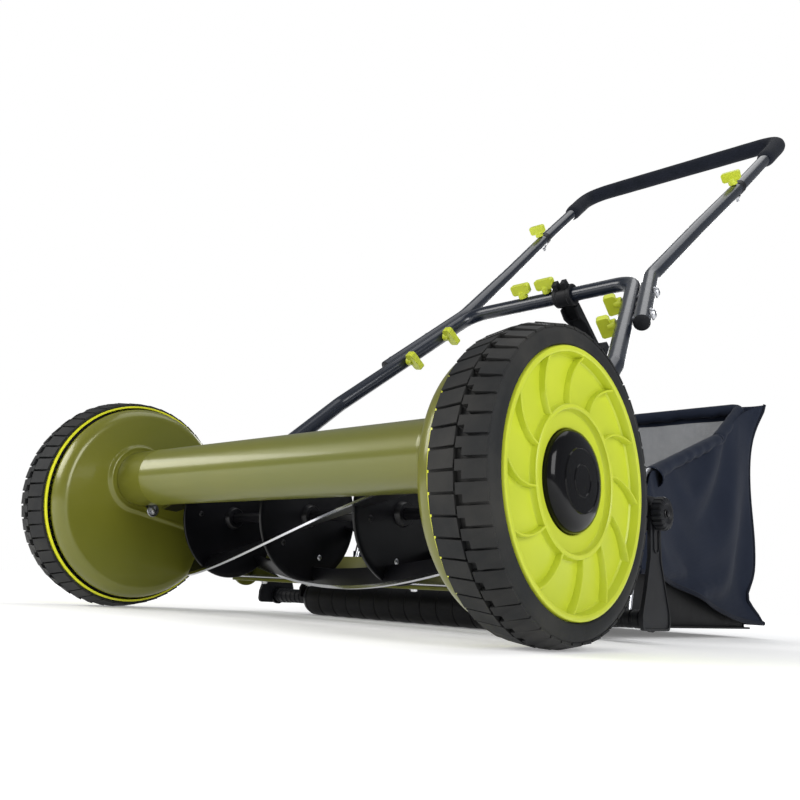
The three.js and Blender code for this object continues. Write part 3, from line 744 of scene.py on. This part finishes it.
def blade(index):
    """A strip wound round the axis. Its relief-ground edge shows bright steel."""
    steps = 96
    section = [(58, -1.5), (76.5, -1.5), (79.8, -0.9), (80, 1.5), (77.2, 1.5), (58, 1.5)]
    points = []
    for i in range(steps + 1):
        x = BLADE_HALF * (2 * i / steps - 1)
        a = blade_angle(index, x)
        for r, half in section:
            y = REEL.y + r * math.cos(a) - half * math.sin(a)
            points.append((x, y, REEL.z + r * math.sin(a) + half * math.cos(a)))
    n = len(section)
    shape = Shape().add(points, strips(steps + 1, n) + [list(range(n)), [steps * n + k for k in range(n)]])
    shape.slots = [0, 1, 1, 1, 0, 0] * steps + [0, 0]
    return shape


def reel_disc(x):
    """A pressed disc with a raised hub, a rolled edge and a rivet beside each blade."""
    shape = Shape()
    face = [(1.5, 14), (1.5, 66), (2.1, 69), (1.5, 73.2), (0.8, 74), (-0.8, 74), (-1.5, 73.2), (-0.9, 69)]
    hub = [(-1.5, 66), (-1.5, 14), (-6, 12.5), (-7, 11.5), (-7, 6.5), (7, 6.5), (7, 11.5), (6, 12.5)]
    lathe(shape, [(x + a, r) for a, r in face + hub], REEL.yz, 1, 96)
    for k in range(BLADES):
        a = blade_angle(k, x) + math.radians(12)
        for way in (1, -1):
            at = Vector((x + way * 1.4, *around(REEL, 50, a)))
            shape.merge(rivet(3.4, 1.8, 1 if k % 2 else 0), towards(at, (way, 0, 0)))
    return shape


def reel():
    rod = [(-300, 0), (-300, 5.4), (-299.4, 6), (299.4, 6), (300, 5.4), (300, 0)]
    make("reel_rod", lathe(Shape(), rod, REEL.yz, 1, 40, closed=False), [BLACK], "reel",
         ["reel_shaft"])
    for i, x in enumerate(DISCS):
        make(f"spider_{i + 1}", reel_disc(x), [BLACK, STEEL], "reel", [f"reel_disc_{i + 1}"])
    for i in range(BLADES):
        make(f"helix_{i + 1}", blade(i), [BLACK, GROUND_STEEL], "reel",
             [f"reel_blade_{i + 1}"])


# ---- roller and height adjustment ----------------------------------------------------------------
def rear_roller():
    """Moulded sections side by side, each a little crowned, with tapered ends."""
    half, sections = 212.0, 16
    width = 2 * (half - 15) / sections
    body = []
    for i in range(sections):
        x = -half + 15 + i * width
        body += [(x, 21.4), (x + 1.2, 22.6), (x + width / 2, 23), (x + width - 1.2, 22.6)]
    ends = [(half - 15, 21.4), (half - 13, 22.3), (half - 7, 19.8), (half - 2, 15.5), (half, 12.5),
            (half, 6.4)]
    start = [(-x, r) for x, r in reversed(ends)]
    return lathe(Shape(), start[:-1] + body + ends, ROLLER.yz, 1, 72)


def roller_axle():
    """The rod with stepped bushes between the roller and each arm."""
    end, inner = 281.1, 213.5
    bush = [(inner, 6), (inner, 8.6)]
    for x in range(218, 276, 9):
        bush += [(x, 9.2), (x + 5.6, 9.2), (x + 6.2, 8.2), (x + 8.4, 8.2)]
    bush += [(277.5, 12), (end, 12), (end, 0)]
    profile = [(-x, r) for x, r in reversed(bush)] + bush
    return lathe(Shape(), profile, ROLLER.yz, 1, 48, closed=False)


# The arm's outline as (height, half width).
ARM_WIDTHS = ((12.6, 27), (13.6, 30), (17, 32), (27, 32), (54, 22), (84, 13), (128, 11), (136, 8), (139, 3))
SLOT_R, SLOT_TRAVEL = 4.6, 34


def arm_outline(inset=0.0):
    middle = ROLLER.y + 1
    right = [(middle + half - inset, z + inset * (1 if z < 60 else -1)) for z, half in ARM_WIDTHS]
    return right + [(2 * middle - y, z) for y, z in reversed(right)]


def roller_arm(side):
    """A moulded arm with a broad foot, a raised border, and a lip round its slot, which is a thin dark
    sheet painted in as the slot's shade.
    """
    shape = Shape()
    x1 = side * 284.4
    prism(shape, arm_outline(), side * 281.5, x1)
    border(shape, arm_outline(), arm_outline(2.4), x1 - side * 0.3, side * 285.5)
    well, lip = (circle(KNOB.y, KNOB.z, r, 14, 0, 180)
                 + circle(KNOB.y, KNOB.z - SLOT_TRAVEL, r, 14, 180, 180) for r in (SLOT_R, SLOT_R + 1.6))
    middle = sum(y for y, z in well) / len(well)
    border(shape, resample(lip, middle), resample(well, middle), side * 284.2, side * 285.6)
    # The slot is not cut through: this thin sheet in black paint fills it as painted shade.
    prism(shape, well, side * 283.9, side * 284.6, 1)
    return shape


def border(shape, outer, inner, x0, x1):
    """A raised edge between two outlines with the same number of points."""
    n = len(outer)
    faces = []
    for i in range(n):
        j = (i + 1) % n
        faces += [[a + i, a + j, b + j, b + i] for a, b in ((0, n), (2 * n, 3 * n), (0, 2 * n), (n, 3 * n))]
    shape.add([(x, y, z) for x in (x0, x1) for ring in (outer, inner) for y, z in ring], faces)


def resample(outline, middle, count=72):
    """count points of a convex outline, at equal shares of its length from the highest."""
    n = len(outline)
    start = max(range(n), key=lambda i: outline[i][1] - 0.001 * abs(outline[i][0] - middle))
    loop = [Vector(outline[(start + i) % n]) for i in range(n + 1)]
    if cross(loop[0], loop[n // 3], loop[2 * n // 3]) < 0:
        loop.reverse()
    lengths = [(b - a).length for a, b in zip(loop, loop[1:])]
    total, result, k, done = sum(lengths), [], 0, 0.0
    for i in range(count):
        target = total * i / count
        while done + lengths[k] < target:
            done += lengths[k]
            k += 1
        share = (target - done) / max(lengths[k], 1e-9)
        p = loop[k].lerp(loop[k + 1], share)
        result.append((p.x, p.y))
    return result


def height_knob(side):
    """A scalloped hand knob with a dished face and the end of its bolt in the middle."""
    shape = Shape()
    lobes, steps = 18, 144
    levels = ((0, 0.90), (1.2, 1.0), (8.8, 1.0), (10.6, 0.94), (11.6, 0.80), (11.6, 0.62), (9.6, 0.50),
              (9.6, 0.0))
    points = []
    for height, share in levels:
        for i in range(steps):
            a = 2 * math.pi * i / steps
            depth = 1.5 * max(0.0, -math.cos(lobes * a)) ** 0.7 if share > 0.7 else 0.0
            points.append((side * (285.9 + height), *around(KNOB, (17 - depth) * share, a)))
    shape.add(points, [list(range(steps)), *strips(len(levels), steps)])
    prism(shape, circle(KNOB.y, KNOB.z, 3.7, 20), side * 268, side * 288)
    at = Vector((side * 295.4, KNOB.y, KNOB.z))
    return shape.merge(bolt(3.4, 2.0, 4.4, 1), towards(at, (side, 0, 0)))


def roller_and_arms():
    make("ground_roller", rear_roller(), [ROLLER_PLASTIC], "rear_roller", ["roller"])
    make("roller_rod", roller_axle(), [PLASTIC], "roller_carriage", ["roller_axle"])
    for side, label in SIDES:
        make(f"arm_{label}", roller_arm(side), [PLASTIC, BLACK, STEEL], "roller_carriage",
             [f"roller_arm_{label}"], 0.35)
        make(f"hand_knob_{label}", height_knob(side), [PLASTIC, BLACK], f"knob_{label}",
             [f"height_knob_{label}"])


# ---- handle, drawn in its own plane: x across, y along the tubes, z square to both ----------------
TILT = math.radians(40.9)
HANDLE = Matrix.Translation(PIVOT - Vector((PIVOT.x, 0, 0))) @ Matrix.Rotation(TILT, 4, "X")
TUBE_R = 11.0
LEG = [(235.9, -14), (222, 150), (144.6, 438)]
MID_TUBE = [(213.9, 268), (166, 446), (178.3, 646), (195, 845)]
GRIP_FOOT, GRIP_CORNER = (195, 845), (210, 1127)
FOAM_START = 998
TUBE_OFFSET = 23.7
LEG_KNOB_S = (283, 363.5)
JOINT_KNOB = (193, 822)
CROSSBAR_KNOB_X = (-39, 4)


def leg_x(s):
    (x0, s0), (x1, s1) = LEG[1:]
    return x0 + (x1 - x0) * (s - s0) / (s1 - s0)


def flat_path(corners, radius, side=1):
    return rounded([(side * x, s, 0) for x, s in corners], radius)


def lower_handle():
    shape = Shape()
    corners = [(-x, s) for x, s in LEG] + LEG[::-1]
    sweep(shape, flat_path(corners, 42), TUBE_R)
    for side in (1, -1):
        end = Vector((side * LEG[0][0], LEG[0][1], 0))
        run = (Vector((side * LEG[1][0], LEG[1][1], 0)) - end).normalized()
        sweep(shape, [end - run * 2.5, end - run * 1.5, end + run * 12], [9.5, 12.2, 12.2], 24, 1)
    return shape


def mid_tube(side):
    """Bent tube beside the leg, with a plug in its lower end and a collar at the grip joint."""
    shape = Shape()
    path = flat_path(MID_TUBE, 70, side)
    sweep(shape, path, TUBE_R)
    run = (path[1] - path[0]).normalized()
    sweep(shape, [path[0] - run * 1.2, path[0] - run * 0.4, path[0] + run * 5], [9.2, 10.7, 10.7], 24, 1)
    top = (path[-1] - path[-2]).normalized()
    sweep(shape, [path[-1] - top * 16, path[-1] - top * 14.6, path[-1]], [11.0, 11.9, 11.9], 24, 1)
    return shape


def cross_bolts(side):
    """The bolts that hold a middle tube to the leg, from the inner knob to an outer head."""
    shape = Shape()
    (x0, s0), (x1, s1) = LEG[1:]
    across = Vector((side, -(x1 - x0) / (s1 - s0), 0)).normalized()
    for s in LEG_KNOB_S:
        middle = Vector((side * leg_x(s), s, 0))
        head = middle + across * (TUBE_OFFSET + TUBE_R - 0.6)
        sweep(shape, [middle + across * 9, head], 3.2, 12)
        cap = [(0, -0.5), (8.2, -0.5), (8.2, 1.2), (6.6, 2.4), (5.2, 4.6), (2.6, 5.6), (0, 5.8)]
        shape.merge(spun(cap, 28), towards(head, across))
    tail = Vector((side * JOINT_KNOB[0], JOINT_KNOB[1], -TUBE_R + 0.5))
    shape.merge(bolt(4.6, 3.6, 7), towards(tail, (0, 0, -1)))
    sweep(shape, [tail, tail - Vector((0, 0, 9))], 2.6, 14)
    return shape


def grip_path(start):
    (x0, s0), (x1, s1) = GRIP_FOOT, GRIP_CORNER
    foot = (x0 + (x1 - x0) * (start - s0) / (s1 - s0), start)
    right = [foot, GRIP_CORNER]
    return flat_path([(-x, s) for x, s in right] + right[::-1], 50)


def foam_grip():
    """A long foam sleeve, a little soft and uneven, with its ends rounded over the tube."""
    shape = Shape()
    path = dense(grip_path(FOAM_START), 6)
    count = len(path)
    radii = []
    for i, p in enumerate(path):
        end = min(i, count - 1 - i)
        soft = 0.25 * noise.noise(p * 0.03)
        radii.append((11.6, 14.2, 15.1)[end] if end < 3 else 15.5 + soft)
    return sweep(shape, path, radii, 32)


def dense(path, step):
    """The same path with its points at most step apart."""
    points = [path[0]]
    for a, b in zip(path, path[1:]):
        parts = max(1, math.ceil((b - a).length / step))
        points += [a.lerp(b, i / parts) for i in range(1, parts + 1)]
    return points


def wing_knob():
    """A wing knob on its bolt: a hub and one broad square tab, from z = 0.35."""
    shape = Shape()
    hub = [(0, 0.35), (6.8, 0.35), (7.6, 1.2), (7.2, 8), (6.4, 12), (0, 12)]
    shape.merge(spun(hub, 24))
    tab = [(-12.5, 6.8), (-15.2, 9.4), (-15.6, 20.8), (-13.2, 23.4)]
    tab += [(-x, z) for x, z in tab[::-1]]
    return shape.solid([(x, y, z) for y in (-4.6, 4.6) for x, z in tab])


def knob(node, seat, direction):
    shape = Shape().merge(wing_knob(), HANDLE @ towards(seat, direction))
    make(node.replace("knob", "wing"), shape, [LIME], "handle", [node], 1.1, steps=3)


def handle_part(name, shape, materials, slot, *replaces, bevel=0.0):
    """Makes a piece that was drawn in the handle's plane."""
    make(name, Shape().merge(shape, HANDLE), materials, "handle", replaces, bevel)


def handle():
    handle_part("lower_tube", lower_handle(), [TUBE, PLASTIC], "black_tube", "lower_handle")
    grip = sweep(Shape(), grip_path(GRIP_FOOT[1] + 0.35), TUBE_R - 0.15)
    handle_part("upper_tube", grip, [TUBE], "black_tube", "grip_tube")
    handle_part("foam_sleeve", foam_grip(), [FOAM], "foam", "foam_grip")
    (x0, s0), (x1, s1) = LEG[1:]
    up = Vector((0, 0, 1))
    for side, label in SIDES:
        handle_part(f"middle_tube_{label}", mid_tube(side), [TUBE, PLASTIC], "black_tube",
                    f"mid_tube_{label}")
        handle_part(f"tube_bolts_{label}", cross_bolts(side), [STEEL], "steel", bevel=0.25)
        inward = Vector((-side, (x1 - x0) / (s1 - s0), 0)).normalized()
        for i, s in enumerate(LEG_KNOB_S):
            knob(f"leg_knob_{label}_{i + 1}", Vector((side * leg_x(s), s, 0)) + inward * TUBE_R, inward)
        knob(f"joint_knob_{label}", Vector((side * JOINT_KNOB[0], JOINT_KNOB[1], TUBE_R)), up)
    for i, x in enumerate(CROSSBAR_KNOB_X):
        knob(f"crossbar_knob_{i + 1}", Vector((x, LEG[-1][1], TUBE_R)), up)


# ---- hanger ------------------------------------------------------------------------------------
CLAMP = (16.0, 46.0)
STRAP_END = Vector(from_axle(695, 343))


def along_strap(points):
    """Points given as (distance, height) from the crossbar along the strap, in the Y-Z plane."""
    run = (STRAP_END - CROSSBAR.yz).normalized()
    rise = Vector((-run.y, run.x))
    return [tuple(CROSSBAR.yz + run * d + rise * h) for d, h in points]


def hanger_clamp():
    """A split collar round the crossbar with two ribs and a screw lug."""
    shape = Shape()
    x0, x1 = CLAMP
    profile = [(x0, 11.4), (x0, 16), (x0 + 1, 17), (x0 + 6, 17), (x0 + 7, 16), (x1 - 7, 16), (x1 - 6, 17),
               (x1 - 1, 17), (x1, 16), (x1, 11.4)]
    lathe(shape, profile, CROSSBAR.yz, 1, 64)
    lug_box = along_strap([(-26, -6), (-14, -7), (-14, 7), (-26, 6)])
    for a, b in ((x0 + 4, x0 + 12), (x1 - 12, x1 - 4)):
        prism(shape, lug_box, a, b)
    return shape


def hanger_strap():
    """The moulded strap: two thin walls with a ribbed web between them, and a stop block."""
    shape = Shape()
    x0, x1 = CLAMP
    length = (STRAP_END - CROSSBAR.yz).length
    side_wall = along_strap([(17.8, -10), (34, -13), (52, -5), (length - 6, -4), (length, -2), (length, 3),
                             (17.8, 4)])
    web = along_strap([(17.8, -1.5), (length - 1, -1.5), (length - 1, 1.5), (17.8, 1.5)])
    for a, b in ((x0 + 1, x0 + 4), (x1 - 4, x1 - 1)):
        prism(shape, side_wall, a, b)
    prism(shape, web, x0 + 2, x1 - 2)
    for i in range(6):
        d = 42 + i * (length - 70) / 5
        prism(shape, along_strap([(d, -4), (d + 2.2, -4), (d + 2.2, 2.8), (d, 2.8)]), x0 + 2, x1 - 2)
    block = along_strap([(100, -9), (104, -11), (118, -11), (122, -9), (122, 7), (100, 7)])
    return prism(shape, block, x1 - 4, x1 + 11)


def hanger():
    make("collar", hanger_clamp(), [PLASTIC], "hanger", ["hanger_clamp"], 0.5)
    make("strap", hanger_strap(), [PLASTIC], "hanger", ["hanger_strap"], 0.5)


# ---- catcher -----------------------------------------------------------------------------------
PAN_Z = 12.0
PAN_HALF = 219.0
BAG_HALF = 224.5
BAG_REAR = from_axle(707.5)[0]
WIRE_R = 3.5


def wire_path():
    x, rear = 217.5, from_axle(700.5)[0]
    right = [(x, AXLE.y + 318, 30), (x, AXLE.y + 362, 190), (x, AXLE.y + 600, 276), (x, rear, 341)]
    return rounded(right + [(-a, b, c) for a, b, c in reversed(right)], 16)


def pan():
    """The moulded floor with its raised flanks, stiffening ribs and the hooks for the axle."""
    shape = Shape()
    front, rear = AXLE.y + 270, AXLE.y + 702
    brick(shape, (-PAN_HALF, front, PAN_Z), (PAN_HALF, rear, PAN_Z + 2.6))
    for i in range(9):
        x = -192 + 48 * i
        brick(shape, (x - 1.5, front + 12, PAN_Z + 2), (x + 1.5, rear - 10, PAN_Z + 6))
    brick(shape, (-PAN_HALF + 8, rear - 4, PAN_Z + 1), (PAN_HALF - 8, rear - 0.5, PAN_Z + 8))
    outline = [from_axle(y, z) for y, z in ((300, 72), (270, 50), (270, PAN_Z), (702, PAN_Z))]
    for i in range(15, -1, -1):
        y, hem, _ = bag_outline(i / 15)
        outline.append((min(y, rear), min(75, hem + 7)))
    for side in (1, -1):
        prism(shape, outline, side * 207, side * 210)
        hook(shape, side)
    return shape


def hook(shape, side):
    """An open hook that drops over the bush of the roller axle."""
    y, z, r = ROLLER.y, ROLLER.z, 9.6
    opening = [around(ROLLER, r, math.radians(a)) for a in range(180, -1, -15)]
    outline = [(y - 16, z), *opening, (y + r, z - 2), (y + 16, z - 2), (y + 18, PAN_Z), (y + 36, PAN_Z),
               (y + 36, z + 23), (y + 12, z + 19), (y - 12, z + 18.5), (y - 16, z + 12)]
    prism(shape, outline, side * 214.8, side * PAN_HALF)


# The top edge of a side panel as (y from the axle, height).
TOP_EDGE = ((334, 92), (362, 190), (600, 277), (700, 342))


def bag_outline(share):
    """Height of the hem and of the top edge of a side panel, share of the way to the rear."""
    y = 334 + share * (707.5 - 334)
    hem = 74 - 53 * smooth(0.05, 1.0, share) ** 0.9
    part = 0 if y < 362 else 1 if y < 600 else 2
    (y0, z0), (y1, z1) = TOP_EDGE[part:part + 2]
    return AXLE.y + y, hem, z0 + (y - y0) / (y1 - y0) * (z1 - z0)


ACROSS, UP, REAR_ACROSS = 44, 30, 52
HEM_Z, REAR_TOP_Z = 21, 344


def bag_grid():
    """Rest points of the cloth: up one side, over the rear and along the other side."""
    columns = []
    for i in range(ACROSS + 1):
        share = i / ACROSS
        y, low, high = bag_outline(share)
        columns.append((BAG_HALF - 1.5 * math.sin(math.pi * share), y, low, high, 0))
    for i in range(1, REAR_ACROSS):
        columns.append((BAG_HALF * (1 - 2 * i / REAR_ACROSS), BAG_REAR, HEM_Z, REAR_TOP_Z, 1))
    left = [(-x, y, low, high, 0) for x, y, low, high, _ in reversed(columns[:ACROSS + 1])]
    return columns + left


def corner_pull(x, y, z):
    """Draws cloth out to the ears of each rear corner, in above the hem, and lays soft folds."""
    away = math.hypot(abs(x) - BAG_HALF, y - BAG_REAR)
    ear = math.exp(-away / 24)
    near = math.exp(-(away / 45) ** 2)
    top = math.exp(-(max(0.0, REAR_TOP_Z - z) / 42) ** 1.4)
    low = math.exp(-(max(0.0, z - 20) / 26) ** 1.5)
    waist = math.exp(-((z - 58) / 24) ** 2)
    belly = math.exp(-((z - 130) / 60) ** 2)
    out_x = 23 * ear * top + 9 * ear * low - 6 * near * waist + 2 * near * belly
    out_y = 23 * ear * top + 14 * ear * low - 15 * near * waist + 7 * near * belly
    side = math.copysign(1, x)
    if away > 1 and abs(x) > BAG_HALF - 3:
        across = (y - AXLE.y - 334) / 374
        fold = 6.0 * math.sin(0.045 * (z - 0.7 * y) + 1.1) + 3.4 * math.sin(0.075 * (z - 0.3 * y))
        free = math.sin(math.pi * min(1, max(0, across)))
        out_x += fold * free * smooth(0, 40, z - 30) * smooth(0, 60, 340 - z)
    return side * out_x, out_y


def bag_shape():
    """The cloth at rest, which of its points are held, and how many columns it has."""
    columns = bag_grid()
    points, held = [], []
    for i, (x, y, low, high, rear) in enumerate(columns):
        for k in range(UP + 1):
            z = low + (high - low) * (k / UP)
            dx, dy = corner_pull(x, y, z)
            if k in (0, UP) or i in (0, len(columns) - 1):
                held.append(len(points))
            points.append((x + dx, y + dy, z))
    faces, slots = [], []
    rows = UP + 1
    for i, (before, after) in enumerate(zip(columns, columns[1:])):
        for k in range(UP):
            faces.append([i * rows + k, (i + 1) * rows + k, (i + 1) * rows + k + 1, i * rows + k + 1])
            slots.append(1 if (before[4] or after[4]) and 3 <= k < UP - 2 else 0)
    shape = Shape().add(points, faces)
    shape.slots = slots
    return shape, held, len(columns)


SETTLE_FRAMES = 26
LONGEST_SHIFT = 0.016


def settled(piece, held):
    """Lets the cloth fall and wrinkle between its held edges, then keeps the result."""
    piece.vertex_groups.new(name="held").add(held, 1.0, "REPLACE")
    rest = [v.co.copy() for v in piece.data.vertices]
    cloth_mod = piece.modifiers.new("cloth", "CLOTH")
    s = cloth_mod.settings
    s.quality = 7
    s.mass = 0.2
    s.tension_stiffness = s.compression_stiffness = 20
    s.shear_stiffness = s.bending_stiffness = 6
    s.air_damping = 4
    s.shrink_min = -0.006
    s.vertex_group_mass = "held"
    s.effector_weights.gravity = 0.6
    cloth_mod.collision_settings.use_collision = False
    cloth_mod.point_cache.frame_start, cloth_mod.point_cache.frame_end = 1, SETTLE_FRAMES
    scene = bpy.context.scene
    for f in range(1, SETTLE_FRAMES + 1):
        scene.frame_set(f)
    shown = piece.evaluated_get(bpy.context.evaluated_depsgraph_get())
    moved = [v.co.copy() for v in shown.data.vertices]
    piece.modifiers.remove(cloth_mod)
    piece.vertex_groups.clear()
    scene.frame_set(1)
    for vertex, start, end in zip(piece.data.vertices, rest, moved):
        step = end - start
        if step.length > LONGEST_SHIFT:
            step *= LONGEST_SHIFT / step.length
        vertex.co = start + step
    piece.data.update()


def thickened(piece, thickness):
    piece.modifiers.new("thickness", "SOLIDIFY").thickness = thickness * MM


def bag():
    shape, held, count = bag_shape()
    mesh = drawn("grass_bag", shape, [CLOTH, NET])
    mesh.shade_smooth()
    piece = placed("grass_bag", mesh)
    settled(piece, held)
    points = [v.co / MM for v in mesh.vertices]
    grid = [points[i:i + UP + 1] for i in range(0, len(points), UP + 1)]
    thickened(piece, 0.9)
    smoother = piece.modifiers.new("smooth", "SUBSURF")
    smoother.levels = smoother.render_levels = 1
    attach(piece, "catcher")
    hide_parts("catcher_bag")
    corners = (ACROSS, count - 1 - ACROSS)
    lines = [([b * 0.75 + (a + c) * 0.125 for a, b, c in zip(*grid[i - 1:i + 2])], 2.6) for i in corners]
    hem = [column[0] for column in grid]
    lines += [(hem[:ACROSS + 1], 3.0), (hem[corners[1]:], 3.0)]
    lines += [(grid[0], 2.4), (grid[-1], 2.4), (hem[ACROSS:corners[1] + 1], 3.4)]
    trim = Shape()
    for line, r in lines:
        trim.merge(sweep(Shape(), dense(line, 8), r, 10, flat=0.7))
    trim_piece = make("bag_seams", trim, [BINDING], "catcher", sharp=60)


def sleeve(path, r):
    """Cloth rolled round the wire: a soft tube that hangs from it, with a flared mouth at each end."""
    path = dense(path, 7)
    count = len(path)
    radii = []
    for i in range(count):
        wave = 0.9 * noise.noise(Vector((i * 0.31, r, 0.7))) + 0.5 * math.sin(i * 0.9)
        flare = 5.5 * math.exp(-min(i, count - 1 - i) / 3.5)
        radii.append(r + wave + flare)
    lowered = [p - Vector((0, 0, q - WIRE_R - 0.6)) for p, q in zip(path, radii)]
    return sweep(Shape(), lowered, radii, 20, caps=False)


def sleeves():
    """One sleeve along the sides and the bound top edge of the net."""
    top = sleeve([p for p in dense(wire_path(), 5) if p.z > 197], 8.6)
    thickened(make("bag_sleeves", top, [CLOTH], "catcher", sharp=70), 1.0)


def catcher():
    make("tray", pan(), [PAN_PLASTIC_SHADED], "catcher", ["catcher_pan"], 0.5)
    make("bag_wire", sweep(Shape(), wire_path(), WIRE_R, 20), [STEEL], "catcher", ["catcher_wire"])
    bag()
    sleeves()


# ---- camera, floor and light ---------------------------------------------------------------------
CAMERA_AT = (0.6490, -1.0236, 0.0361)
CAMERA_AZIMUTH, CAMERA_RISE, CAMERA_ROLL = 41.51, 12.95, 3.22


def camera():
    data = bpy.data.cameras.new("camera")
    data.sensor_width = 36
    data.lens = 37.56
    data.clip_end = 100
    view = placed("camera", data)
    a, e, roll = (math.radians(v) for v in (CAMERA_AZIMUTH, CAMERA_RISE, CAMERA_ROLL))
    look = Vector((-math.sin(a) * math.cos(e), math.cos(a) * math.cos(e), math.sin(e)))
    right = look.cross(Vector((0, 0, 1))).normalized()
    up = right.cross(look)
    c, s = math.cos(roll), math.sin(roll)
    right, up = right * c + up * s, up * c - right * s
    turn = Matrix((right, up, -look)).transposed()
    view.matrix_world = Matrix.Translation(CAMERA_AT) @ turn.to_4x4()
    bpy.context.scene.camera = view


def glow(material, reach, near, far):
    """Lets a material shine more and more with distance from its object's origin."""
    nodes, links = material.node_tree.nodes, material.node_tree.links
    where, scaled = nodes.new("ShaderNodeTexCoord"), nodes.new("ShaderNodeMapping")
    scaled.inputs["Scale"].default_value = (1 / reach,) * 3
    fade, level = nodes.new("ShaderNodeTexGradient"), nodes.new("ShaderNodeMapRange")
    fade.gradient_type = "SPHERICAL"
    level.inputs["To Min"].default_value, level.inputs["To Max"].default_value = far, near
    links.new(where.outputs["Object"], scaled.inputs["Vector"])
    links.new(scaled.outputs["Vector"], fade.inputs["Vector"])
    links.new(fade.outputs["Fac"], level.inputs["Value"])
    links.new(level.outputs["Result"], nodes["Principled BSDF"].inputs["Emission Strength"])


def floor():
    mesh = bpy.data.meshes.new("floor")
    half, n = 14.0, 8
    lines = [half * (2 * i / n - 1) for i in range(n + 1)]
    points = [(x, y, 0) for x in lines for y in lines]
    faces = [[i * (n + 1) + k, (i + 1) * (n + 1) + k, (i + 1) * (n + 1) + k + 1, i * (n + 1) + k + 1]
             for i in range(n) for k in range(n)]
    mesh.from_pydata(points, [], faces)
    ground = placed("floor", mesh)
    paint = Paint("floor_paint", (0.90, 0.90, 0.90), 0.8, Emission_Color=(1, 1, 1, 1))
    mesh.materials.append(paint.gloss(paint.noise(3), 0.04).material)
    glow(mesh.materials[0], 2.6, 0.12, 0.85)


def lamp(name, at, aim, size, watts, color=(1, 1, 1)):
    data = bpy.data.lights.new(name, "AREA")
    data.shape = "RECTANGLE"
    data.size, data.size_y = size
    data.energy = watts
    data.color = color
    light = placed(name, data)
    light.location = at
    light.rotation_mode = "QUATERNION"
    light.rotation_quaternion = (Vector(aim) - Vector(at)).to_track_quat("-Z", "Y")


def lights():
    world = bpy.data.worlds.new("studio")
    bpy.context.scene.world = world
    world.use_nodes = True
    nodes, links = world.node_tree.nodes, world.node_tree.links
    plain, lit = nodes["Background"], nodes.new("ShaderNodeBackground")
    plain.inputs["Color"].default_value = (1, 1, 1, 1)
    plain.inputs["Strength"].default_value = 1.0
    lit.inputs["Color"].default_value = (0.93, 0.96, 1, 1)
    lit.inputs["Strength"].default_value = 0.24
    seen, mix = nodes.new("ShaderNodeLightPath"), nodes.new("ShaderNodeMixShader")
    links.new(seen.outputs["Is Camera Ray"], mix.inputs["Fac"])
    links.new(lit.outputs["Background"], mix.inputs[1])
    links.new(plain.outputs["Background"], mix.inputs[2])
    links.new(mix.outputs["Shader"], nodes["World Output"].inputs["Surface"])
    middle = (0, 0, 0.3)
    lamp("key", (-1.6, -2.6, 1.6), middle, (2.2, 1.4), 62, (1, 0.98, 0.95))
    lamp("side", (2.8, -1.0, 1.3), middle, (1.4, 1.6), 48)
    lamp("top", (0.2, 0.6, 3.0), middle, (2.4, 2.4), 26)
    lamp("rear", (-1.2, 2.8, 1.6), middle, (1.8, 1.2), 30)
    bpy.context.scene.view_settings.view_transform = "Standard"


camera()
wheels()
machine_frame()
reel()
roller_and_arms()
handle()
hanger()
catcher()
floor()
lights()

bpy.context.view_layer.update()
